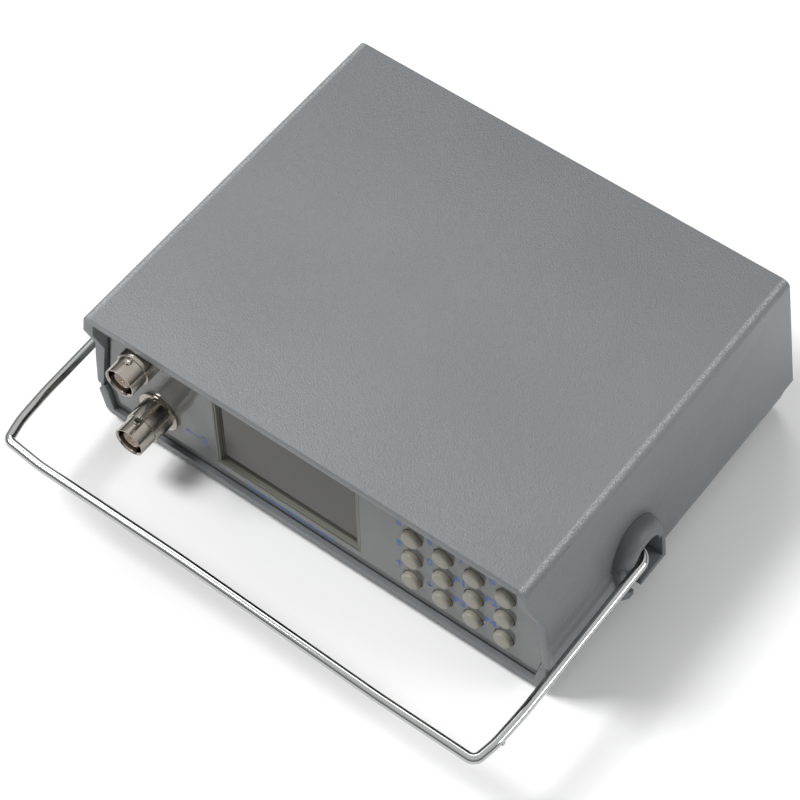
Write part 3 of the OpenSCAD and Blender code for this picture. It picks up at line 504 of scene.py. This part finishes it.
def bevelled(obj, width, segments=2, sharp=34):
    only(obj)
    bpy.ops.object.modifier_add(type="BEVEL")
    bevel = obj.modifiers[-1]
    bevel.width = width * mm
    bevel.segments = segments
    bevel.limit_method = "ANGLE"
    bevel.angle_limit = math.radians(sharp)
    bpy.ops.object.modifier_apply(modifier=bevel.name)
    return obj


def newPiece(name, mesh):
    obj = bpy.data.objects.new(name, mesh)
    bpy.context.collection.objects.link(obj)
    return obj


# A copy with its own mesh, set off from the first
def copied(obj, name, shift):
    mesh = obj.data.copy()
    mesh.transform(Matrix.Translation(shift))
    return newPiece(name, mesh)


def joined(name, parts):
    bpy.ops.object.select_all(action="DESELECT")
    for part in parts:
        part.select_set(True)
    bpy.context.view_layer.objects.active = parts[0]
    bpy.ops.object.join()
    obj = bpy.context.object
    obj.name = name
    return obj


# Gives a piece its material, smoothing and body, and hides the nodes it stands for
def finishPiece(obj, slot, body, replaced=(), smooth=32):
    obj.data.materials.clear()
    obj.data.materials.append(materials[slot])
    only(obj)
    bpy.ops.object.shade_smooth_by_angle(angle=math.radians(smooth))
    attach(obj, body)
    if replaced:
        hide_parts(*replaced)
    return obj


# A ring about an axis along Y, extruded and scaled through a profile of (radius, depth)
def turned(name, profile, centre, closed=False, steps=48):
    radius, depth = profile[0]
    bpy.ops.object.select_all(action="DESELECT")
    bpy.ops.mesh.primitive_circle_add(
        vertices=steps, radius=radius * mm, rotation=(math.pi / 2, 0, 0),
        location=centre + Vector((0, depth * mm, 0)))
    obj = applied(bpy.context.object)
    obj.name = name
    bpy.ops.object.mode_set(mode="EDIT")
    bpy.ops.mesh.select_all(action="SELECT")
    for newRadius, newDepth in profile[1:] + (profile[:1] if closed else []):
        bpy.ops.mesh.extrude_region_move(
            TRANSFORM_OT_translate={"value": (0, (newDepth - depth) * mm, 0)})
        wider = newRadius / radius
        bpy.ops.transform.resize(
            value=(wider, 1, wider), center_override=centre + Vector((0, newDepth * mm, 0)))
        radius, depth = newRadius, newDepth
    bpy.ops.object.mode_set(mode="OBJECT")
    return cleaned(obj, close=not closed)


# A flat plate between two corners, its edges along Y rounded off
def plate(name, low, high, rounding, segments=4):
    low, high = Vector(low), Vector(high)
    bpy.ops.object.select_all(action="DESELECT")
    bpy.ops.mesh.primitive_cube_add(size=1, location=(low + high) / 2, scale=high - low)
    obj = applied(bpy.context.object)
    obj.name = name
    bpy.ops.object.mode_set(mode="EDIT")
    bpy.ops.mesh.select_mode(type="EDGE")
    bpy.ops.mesh.select_all(action="DESELECT")
    bpy.ops.object.mode_set(mode="OBJECT")
    for line in obj.data.edges:
        a, b = (obj.data.vertices[i].co for i in line.vertices)
        line.select = abs(a.x - b.x) + abs(a.z - b.z) < 1e-7
    bpy.ops.object.mode_set(mode="EDIT")
    bpy.ops.mesh.bevel(offset=rounding * mm, segments=segments, affect="EDGES")
    bpy.ops.object.mode_set(mode="OBJECT")
    return obj


# Cuts a plate through, leaving a frame of the given width
def framed(obj, width):
    only(obj)
    bpy.ops.object.mode_set(mode="EDIT")
    bpy.ops.mesh.select_mode(type="FACE")
    bpy.ops.mesh.select_all(action="DESELECT")
    bpy.ops.object.mode_set(mode="OBJECT")
    for face in obj.data.polygons:
        face.select = abs(face.normal.y) > 0.9
    bpy.ops.object.mode_set(mode="EDIT")
    bpy.ops.mesh.inset(thickness=width * mm)
    bpy.ops.mesh.bridge_edge_loops()
    bpy.ops.object.mode_set(mode="OBJECT")
    return cleaned(obj)


def centreOf(name):
    low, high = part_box(name)
    return (low + high) / 2


# CAD nodes whose sharp edges are rounded off, each with the width of its rounding
shells = {
    "top_cover": {"name": "cover_shell", "width": 0.35},
    "bottom_tray": {"name": "tray_shell", "width": 0.3},
    "right_hub": {"name": "right_hub_shell", "width": 0.3},
    "left_hub": {"name": "left_hub_shell", "width": 0.3},
    "display_bezel": {"name": "window_frame", "width": 0.12},
    "rear_panel": {"name": "rear_plate", "width": 0.2},
    "power_inlet": {"name": "inlet_shell", "width": 0.2},
    "switch_body": {"name": "switch_frame", "width": 0.25},
    "upper_jack_shell": {"name": "upper_jack_metal", "width": 0.18},
    "lower_jack_shell": {"name": "lower_jack_metal", "width": 0.18},
    "switch_rocker": {"name": "rocker_cap", "width": 0.3, "body": "switch_rocker"},
}
shell = {}
for node, look in shells.items():
    copy = newPiece(look["name"], nodes[node].data.copy())
    cleaned(copy, merge=2e-6, flat=0.8)
    bevelled(copy, look["width"])
    shell[node] = finishPiece(copy, slotOf[node], look.get("body", "case"), [node])
print("shells:", len(shells))

# Inside each jack: an insulator that steps in towards its mouth, and a bored contact
jackCore = {"bore": 1.04, "funnel": 1.25, "face": 2.75, "recess": 0.95, "body": 3.0}
jackPin = {"bore": 0.46, "bottom": 5.0, "rim": 0.85, "body": 1.0, "recess": 1.1}
jackSmooth = 40   # degrees
low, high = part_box("lower_jack_shell")
mouth = Vector(((low.x + high.x) / 2, low.y, (low.z + high.z) / 2))
coreEnd = (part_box("lower_jack_insulator")[1].y - low.y) / mm
pinEnd = (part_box("lower_jack_contact")[1].y - low.y) / mm
bore, funnel, face, recess, body = (
    jackCore[k] for k in ("bore", "funnel", "face", "recess", "body"))
core = turned("lower_jack_core", [
    (bore, recess + 0.2), (funnel, recess + 0.04), (face - 0.4, recess),
    (face - 0.1, recess + 0.12), (face, recess + 0.4), (face, 4.0), (body - 0.05, 4.3),
    (body, 4.5), (body, coreEnd - 0.2), (body - 0.15, coreEnd), (bore, coreEnd)],
    mouth, closed=True)
bore, bottom, rim, body, recess = (
    jackPin[k] for k in ("bore", "bottom", "rim", "body", "recess"))
pin = turned("lower_jack_pin", [
    (0.3, bottom), (bore - 0.02, bottom - 0.1), (bore, recess + 0.17), (0.6, recess),
    (rim, recess), (body, recess + 0.17), (body, pinEnd - 0.3), (0.75, pinEnd)], mouth)
rise = centreOf("upper_jack_shell") - centreOf("lower_jack_shell")
inside = {"lower": (core, pin), "upper": (copied(core, "upper_jack_core", rise),
                                          copied(pin, "upper_jack_pin", rise))}
for jack, (core, pin) in inside.items():
    node = jack + "_jack_insulator"
    finishPiece(core, slotOf[node], "case", [node], jackSmooth)
    node = jack + "_jack_contact"
    finishPiece(pin, slotOf[node], "case", [node], jackSmooth)
print("jacks:", len(inside))

# One crowned key cap on its flange and plunger, copied to every key
keyShape = {"radius": 2.9, "flange": 4.55, "flangeThick": 1.2, "plunger": 1.7,
            "crown": [(1.1, 0.0), (1.75, 0.03), (2.15, 0.08), (2.42, 0.15), (2.6, 0.25),
                      (2.74, 0.4), (2.84, 0.6), (2.9, 0.9), (2.9, 1.4)]}
keyNames = [n for n in nodes if n.startswith("key_") and n != "key_switches"]
first = keyNames[0]
low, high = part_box(first)
flangeR = (high.x - low.x) / 2 / mm
deep = (high.y - low.y) / mm
flangeAt = keyShape["flange"]
backAt = flangeAt + keyShape["flangeThick"]
plunger = keyShape["plunger"]
cap = turned(first + "_cap", keyShape["crown"] + [
    (keyShape["radius"], flangeAt), (flangeR - 0.1, flangeAt), (flangeR, flangeAt + 0.1),
    (flangeR, backAt - 0.1), (flangeR - 0.1, backAt), (plunger, backAt),
    (plunger, deep - 0.15), (plunger - 0.15, deep)],
    Vector(((low.x + high.x) / 2, low.y, (low.z + high.z) / 2)))
keyCap = {first: cap}
for name in keyNames[1:]:
    keyCap[name] = copied(cap, name + "_cap", centreOf(name) - centreOf(first))
for name, cap in keyCap.items():
    finishPiece(cap, "key_plastic", name, [name])
print("keys:", len(keyCap))

# Painted shade: a dark ring on the film round each key, longer than it is high, stands in for the
# shade in the gap of its hole, so the dark shows at each side
gap = {"inner": 2.93, "outer": 3.32, "high": 0.9, "thick": 0.03, "lift": 0.005}
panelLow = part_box("panel_overlay")[0]
at = centreOf(first)
at.y = panelLow.y - (gap["thick"] + gap["lift"]) * mm
inner, outer, thick = (gap[k] for k in ("inner", "outer", "thick"))
ring = turned("key_gap", [(inner, 0.0), (outer, 0.0), (outer, thick), (inner, thick)],
              at, closed=True)
only(ring)
bpy.ops.object.mode_set(mode="EDIT")
bpy.ops.mesh.select_mode(type="VERT")
bpy.ops.mesh.select_all(action="DESELECT")
bpy.ops.object.mode_set(mode="OBJECT")
for v in ring.data.vertices:
    v.select = math.hypot(v.co.x - at.x, v.co.z - at.z) > (inner + outer) / 2 * mm
bpy.ops.object.mode_set(mode="EDIT")
bpy.ops.transform.resize(value=(1, 1, gap["high"]), center_override=at)
bpy.ops.object.mode_set(mode="OBJECT")
rings = [ring] + [copied(ring, "key_gap", centreOf(n) - centreOf(first)) for n in keyNames[1:]]
finishPiece(joined("key_gaps", rings), "rubber", "case", (), 30)
print("key gap shades:", len(rings))

# The bail's line lies in its own plane, from the right end round to the left one, as
# (x, y, rounding) in millimetres from the pivot, and is a little out of true like the real rod
rodR = 1.5
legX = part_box("bail")[1].x / mm - rodR
hinge = [j for j in frame["record"]["behaviour"]["joints"] if j["name"] == "bail_hinge"][0]
pivot = Vector(hinge["pos_m"])
bail = {"droop": 2.0, "stub": 0.1, "stepsPerRadian": 14, "line": [
    (73.3, 0, 0), (legX, 0, 4.0), (legX, -57.5, 120), (82.3, -69.0, 30), (80.9, -76.15, 2.5),
    (50.0, -76.2, 200), (-18.0, -74.55, 300), (-68.0, -74.45, 30), (-80.75, -73.3, 2.2),
    (-82.3, -66.5, 30), (-legX, -55.0, 120), (-legX, 0, 4.0), (-73.3, 0, 0)]}


# Each corner of the line is turned on its own radius
def bailPath():
    line = [Vector((x, y, 0)) for x, y, _ in bail["line"]]
    points = [line[0], line[0].lerp(line[1], bail["stub"])]
    for i in range(1, len(line) - 1):
        before = (line[i - 1] - line[i]).normalized()
        after = (line[i + 1] - line[i]).normalized()
        half = before.angle(after) / 2
        radius = bail["line"][i][2]
        middle = line[i] + (before + after).normalized() * radius / math.sin(half)
        start = line[i] + before * radius / math.tan(half) - middle
        turn = before.cross(after).z
        sweep = math.copysign(math.pi - 2 * half, -turn)
        steps = max(4, round(bail["stepsPerRadian"] * abs(sweep)))
        for k in range(steps + 1):
            points.append(middle + Matrix.Rotation(sweep * k / steps, 3, "Z") @ start)
    points += [line[-1].lerp(line[-2], bail["stub"]), line[-1]]
    droop = math.radians(bail["droop"])
    return [pivot + mm * Vector((p.x, p.y * math.cos(droop), p.y * math.sin(droop)))
            for p in points]


path = bailPath()
bpy.ops.curve.primitive_bezier_curve_add(location=(0, 0, 0))
rod = bpy.context.object
rod.name = "bail_rod"
rod.data.splines.clear()
spline = rod.data.splines.new("POLY")
spline.points.add(len(path) - 1)
for point, place in zip(spline.points, path):
    point.co = (*place, 1)
rod.data.dimensions = "3D"
rod.data.bevel_depth = rodR * mm
rod.data.bevel_resolution = 10
rod.data.use_fill_caps = True
bpy.ops.object.convert(target="MESH")
rod = bevelled(cleaned(bpy.context.object), 0.25, 1, 60)
finishPiece(rod, "bail_chrome", "bail", ["bail"], 50)

# The burr where the rod's ends were welded, low on the right leg
burr = {"size": (0.45, 0.75, 0.5), "lumps": 0.09, "seed": 4}
bpy.ops.object.select_all(action="DESELECT")
bpy.ops.mesh.primitive_ico_sphere_add(
    subdivisions=3, radius=1, location=placeOn(treeOf(rod), "weld_burr"),
    scale=[size * mm for size in burr["size"]])
weldBurr = applied(bpy.context.object)
weldBurr.name = "weld_burr"
bpy.ops.object.mode_set(mode="EDIT")
bpy.ops.mesh.select_all(action="SELECT")
bpy.ops.transform.vertex_random(offset=burr["lumps"] * mm, seed=burr["seed"])
bpy.ops.mesh.vertices_smooth(repeat=2)
bpy.ops.object.mode_set(mode="OBJECT")
for v in weldBurr.data.vertices:
    v.co.x = min(v.co.x, cadBox[1].x)
finishPiece(weldBurr, "bail_chrome", "bail", (), 60)
print("bail: rod and weld")

# The display behind its window: a dark border that stands forward, and the lit area on it
screen = {"border": 0.93, "forward": 0.95, "inset": 1.9, "proud": 0.06, "rounding": 0.4,
          "borderRounding": 0.1, "clear": 0.02}
windowLow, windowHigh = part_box("display_bezel")
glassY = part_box("display_glass")[0].y - screen["clear"] * mm
borderY = glassY - screen["forward"] * mm
areaY = borderY - (screen["proud"] + screen["clear"]) * mm
for name, slot, edge, y0, y1, rounding in (
        ("screen_border", "display_glass", screen["border"], borderY, glassY,
         screen["borderRounding"]),
        ("screen_area", "screen_area", screen["inset"], areaY, borderY - screen["clear"] * mm,
         screen["rounding"])):
    edge *= mm
    finishPiece(plate(name, (windowLow.x + edge, y0, windowLow.z + edge),
                      (windowHigh.x - edge, y1, windowHigh.z - edge), rounding),
                slot, "case", (), 30)

# The frame's thin lip, which covers the gap between it and the front film
lip = {"over": 0.28, "width": 0.62, "thick": 0.06, "lift": 0.01, "rounding": 0.3}
over = lip["over"] * mm
lipLow = (windowLow.x - over, panelLow.y - (lip["thick"] + lip["lift"]) * mm, windowLow.z - over)
lipHigh = (windowHigh.x + over, panelLow.y - lip["lift"] * mm, windowHigh.z + over)
windowLip = framed(plate("window_lip", lipLow, lipHigh, lip["rounding"]), lip["width"])
finishPiece(windowLip, "bezel_plastic", "case", (), 30)
print("screen: set")

# Painted shade: a dark strip on the film along the panel's lower edge stands in for the shade in
# the gap there
gapShade = {"height": 0.85, "thick": 0.08, "in": 0.25, "lift": 0.01, "rounding": 0.1}
footX = [v.co.x for v in nodes["panel_overlay"].data.vertices if v.co.z < panelLow.z + 0.5 * mm]
gapShadeLow = (min(footX) + gapShade["in"] * mm, panelLow.y - (gapShade["thick"] + gapShade["lift"]) * mm,
           panelLow.z)
gapShadeHigh = (max(footX) - gapShade["in"] * mm, panelLow.y - gapShade["lift"] * mm,
            panelLow.z + gapShade["height"] * mm)
finishPiece(plate("panel_gap_shade", gapShadeLow, gapShadeHigh, gapShade["rounding"]), "rubber", "case", (), 30)
print("seal: set")

# Blue print on the front film; "capital" is a capital's height as a share of the text's size
overlayTree = treeOf(nodes["panel_overlay"])
printing = {"height": 2.9, "stroke": 0.11, "lift": 0.015, "thick": 0.02, "corner": 0.08,
            "capital": 0.72}
printY = panelLow.y - printing["lift"] * mm


def printedText(name, words, centre):
    bpy.ops.object.select_all(action="DESELECT")
    bpy.ops.object.text_add()
    obj = bpy.context.object
    obj.name = name
    obj.data.body = words
    obj.data.size = printing["height"] * mm / printing["capital"]
    obj.data.extrude = printing["thick"] * mm / 2
    obj.data.offset = printing["stroke"] * mm
    obj.data.align_x = "CENTER"
    obj.data.align_y = "CENTER"
    obj.data.resolution_u = 4
    bpy.ops.object.convert(target="MESH")
    obj = bpy.context.object
    obj.rotation_euler = (math.pi / 2, 0, 0)
    obj.location = centre
    return applied(obj)


# A flat printed line from (x0, z0) to (x1, z1) in millimetres from the centre
def printedLine(name, x0, z0, x1, z1, wide, centre):
    half = Vector((math.hypot(x1 - x0, z1 - z0), printing["thick"], wide)) * mm / 2
    obj = plate(name, -half, half, printing["corner"], 2)
    obj.rotation_euler = (0, -math.atan2(z1 - z0, x1 - x0), 0)
    obj.location = centre + mm * Vector(((x0 + x1) / 2, 0, (z0 + z1) / 2))
    return applied(obj)


def printedLines(name, lines, centre):
    return joined(name, [printedLine(name, *line, centre) for line in lines])


# A label stands left of its key, and in the bottom row at a height of its own
upper = placeOn(overlayTree, "label_6") - centreOf("key_6")
lower = placeOn(overlayTree, "label_f4") - centreOf("key_f4")
lowerKeys = ("key_up", "key_down", "key_f3", "key_f4")
labels = {"key_1": "1", "key_2": "2", "key_3": "3", "key_4": "4", "key_5": "5", "key_6": "6",
          "key_7": "7", "key_8": "8", "key_9": "9", "key_0": "0", "key_f1": "F1", "key_f2": "F2",
          "key_up": "up", "key_down": "down", "key_f3": "F3", "key_f4": "F4"}
arrow = [(0, -1.5, 0, 1.4, 0.45), (-1.0, 0.3, 0.08, 1.55, 0.45), (1.0, 0.3, -0.08, 1.55, 0.45)]
label = {}
for key, words in labels.items():
    at = centreOf(key) + (lower if key in lowerKeys else upper)
    at.y = printY
    name = "label_" + key[4:]
    if words == "up":
        label[key] = printedLines(name, arrow, at)
    elif words == "down":
        label[key] = printedLines(name, [(a, -b, c, -d, t) for a, b, c, d, t in arrow], at)
    else:
        label[key] = printedText(name, words, at)
    finishPiece(label[key], "print_blue", "case", (), 30)

# A plain arrow and number beside each jack
jackMark = {"digit": 2.5, "shift": -1.7, "pointer": [
    (2.4, 0, -2.4, 0, 0.45), (-1.2, 1.1, -2.5, -0.08, 0.45), (-1.2, -1.1, -2.5, 0.08, 0.45)]}
lowerAt = placeOn(overlayTree, "jack_mark")
lowerAt.y = printY
jackMarks = {}
for name, words, at in (("lower_jack_mark", "2", lowerAt),
                        ("upper_jack_mark", "1", lowerAt + Vector((0, 0, rise.z)))):
    jackMarks[name] = joined(name, [
        printedLines(name, jackMark["pointer"], at + Vector((jackMark["shift"] * mm, 0, 0))),
        printedText("number", words, at + Vector((jackMark["digit"] * mm, 0, 0)))])
    finishPiece(jackMarks[name], "print_blue", "case", (), 30)

# A plain scale under the window: a base line, one long and one short tick, and their copies
scale = {"half": 15.0, "steps": 20, "every": 5, "tall": 2.4, "short": 1.4, "line": 0.34,
         "low": -0.95}
scaleAt = placeOn(overlayTree, "scale_mark")
scaleAt.y = printY
low = scale["low"]
rule = [printedLine("scale_mark", -scale["half"], low, scale["half"], low, scale["line"], scaleAt)]
tick = {kind: printedLine(kind, -scale["half"], low, -scale["half"], low + scale[kind],
                          scale["line"], scaleAt) for kind in ("tall", "short")}
for i in range(scale["steps"] + 1):
    kind = "tall" if i % scale["every"] == 0 else "short"
    shift = Vector((2 * scale["half"] * i / scale["steps"] * mm, 0, 0))
    rule.append(copied(tick[kind], "tick", shift))
for spare in tick.values():
    bpy.data.objects.remove(spare)
scaleMark = finishPiece(joined("scale_mark", rule), "print_blue", "case", (), 30)
print("marks:", len(label) + len(jackMarks) + 1)


def plainMaterial(name, colour, rough):
    material = bpy.data.materials.new(name)
    material.use_nodes = True
    shader = material.node_tree.nodes["Principled BSDF"]
    shader.inputs["Base Color"].default_value = (*colour, 1)
    shader.inputs["Roughness"].default_value = rough
    return material


ground = {"size": 2.6, "colour": (0.94, 0.94, 0.94), "rough": 0.8}
bpy.ops.mesh.primitive_plane_add(size=ground["size"], location=(0, 0, 0))
floor = bpy.context.object
floor.name = "floor"
floor.data.materials.append(plainMaterial("floor", ground["colour"], ground["rough"]))
floor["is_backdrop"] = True

# Three soft boxes, each aimed at the object's middle
aimAt = Vector((0, 0, 0.03))
lights = {
    "left": {"at": (-1.15, -0.60, 1.75), "size": (0.7, 0.7), "power": 39.5},
    "right": {"at": (1.60, 0.76, 0.78), "size": (0.9, 0.4), "power": 13.5},
    "back": {"at": (-0.55, 0.72, 1.10), "size": (0.5, 0.5), "power": 3.4},
}
for name, light in lights.items():
    bpy.ops.object.light_add(type="AREA", location=light["at"])
    lamp = bpy.context.object
    lamp.name = "light_" + name
    lamp.data.energy = light["power"]
    lamp.data.shape = "RECTANGLE"
    lamp.data.size, lamp.data.size_y = light["size"]
    lamp.rotation_euler = (aimAt - lamp.location).to_track_quat("-Z", "Y").to_euler()

# The sky is white to the camera and through glass. For the rest it darkens towards the horizon,
# and shiny metal sees it brighter than it lights the object
sky = {"zenith": 1.0, "horizon": 0.12, "from": 0.15, "to": 0.85, "ambient": 0.52, "shine": 1.0}
world = bpy.data.worlds.new("studio")
bpy.context.scene.world = world
world.use_nodes = True
tree = world.node_tree
ambient = tree.nodes["Background"]
white = addNode(tree, "ShaderNodeBackground", {"Color": (1, 1, 1, 1), "Strength": 1.0})
where = addNode(tree, "ShaderNodeTexCoord")
height = addNode(tree, "ShaderNodeSeparateXYZ")
tree.links.new(where.outputs["Generated"], height.inputs["Vector"])
fade = addNode(tree, "ShaderNodeMapRange", {
    "From Min": sky["from"], "From Max": sky["to"],
    "To Min": sky["horizon"], "To Max": sky["zenith"]})
tree.links.new(height.outputs["Z"], fade.inputs["Value"])
tree.links.new(fade.outputs["Result"], ambient.inputs["Color"])
seen = addNode(tree, "ShaderNodeLightPath")
level = addNode(tree, "ShaderNodeMapRange", {"To Min": sky["ambient"], "To Max": sky["shine"]})
tree.links.new(seen.outputs["Is Glossy Ray"], level.inputs["Value"])
tree.links.new(level.outputs["Result"], ambient.inputs["Strength"])
plain = addNode(tree, "ShaderNodeMath", operation="MAXIMUM")
tree.links.new(seen.outputs["Is Camera Ray"], plain.inputs[0])
tree.links.new(seen.outputs["Is Transmission Ray"], plain.inputs[1])
choose = addNode(tree, "ShaderNodeMixShader")
tree.links.new(plain.outputs["Value"], choose.inputs["Fac"])
tree.links.new(ambient.outputs["Background"], choose.inputs[1])
tree.links.new(white.outputs["Background"], choose.inputs[2])
tree.links.new(choose.outputs["Shader"], tree.nodes["World Output"].inputs["Surface"])
bpy.context.scene.view_settings.view_transform = "Standard"
print("studio: lit")

# How the image points are found on the finished pieces, in millimetres
probe = {"hidden": 0.2, "keyFace": 1.0, "rim": 0.4, "lugAbove": 5.3, "lugDepth": 6, "lugHalf": 1.2}
depsgraph = bpy.context.evaluated_depsgraph_get()


def worldVerts(obj):
    mesh = obj.evaluated_get(depsgraph).data
    return [obj.matrix_world @ v.co for v in mesh.vertices]


def isSeen(point):
    origin = camPlace.translation
    along = point - origin
    reach = along.length
    hit, place = bpy.context.scene.ray_cast(depsgraph, origin, along.normalized())[:2]
    return not hit or (place - origin).length > reach - probe["hidden"] * mm


def seenOf(obj, keep=lambda p: True):
    return [project(p) for p in worldVerts(obj) if keep(p) and isSeen(p)]


def middle(points):
    xs = [p[0] for p in points]
    ys = [p[1] for p in points]
    return ((min(xs) + max(xs)) / 2, (min(ys) + max(ys)) / 2)


def corner(obj, aim):
    return min(seenOf(obj), key=lambda p: math.dist(p, aim))


everything = [project(p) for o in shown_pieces() for p in worldVerts(o)]
corner(shell["top_cover"], imagePoints["top_front_right"])
for side in ("window_left", "window_right"):
    corner(windowLip, imagePoints[side])
for key in ("key_9", "key_f4", "key_up", "key_8"):
    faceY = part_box(key)[0].y + probe["keyFace"] * mm
    middle(seenOf(keyCap[key], lambda p: p.y < faceY))
for jack in ("upper_jack", "lower_jack"):
    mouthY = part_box(jack + "_shell")[0].y
    rim = [project(p) for p in worldVerts(shell[jack + "_shell"])
           if p.y < mouthY + probe["rim"] * mm]
jackAt = centreOf("lower_jack_shell")
lug = [project(p) for p in worldVerts(shell["lower_jack_shell"])
       if p.z > jackAt.z + probe["lugAbove"] * mm and p.y < mouth.y + probe["lugDepth"] * mm
       and abs(p.x - jackAt.x) < probe["lugHalf"] * mm]
middle(seenOf(label["key_6"]))
middle(seenOf(label["key_f4"]))
middle(seenOf(jackMarks["lower_jack_mark"]))
middle(seenOf(scaleMark))
middle(seenOf(weldBurr))
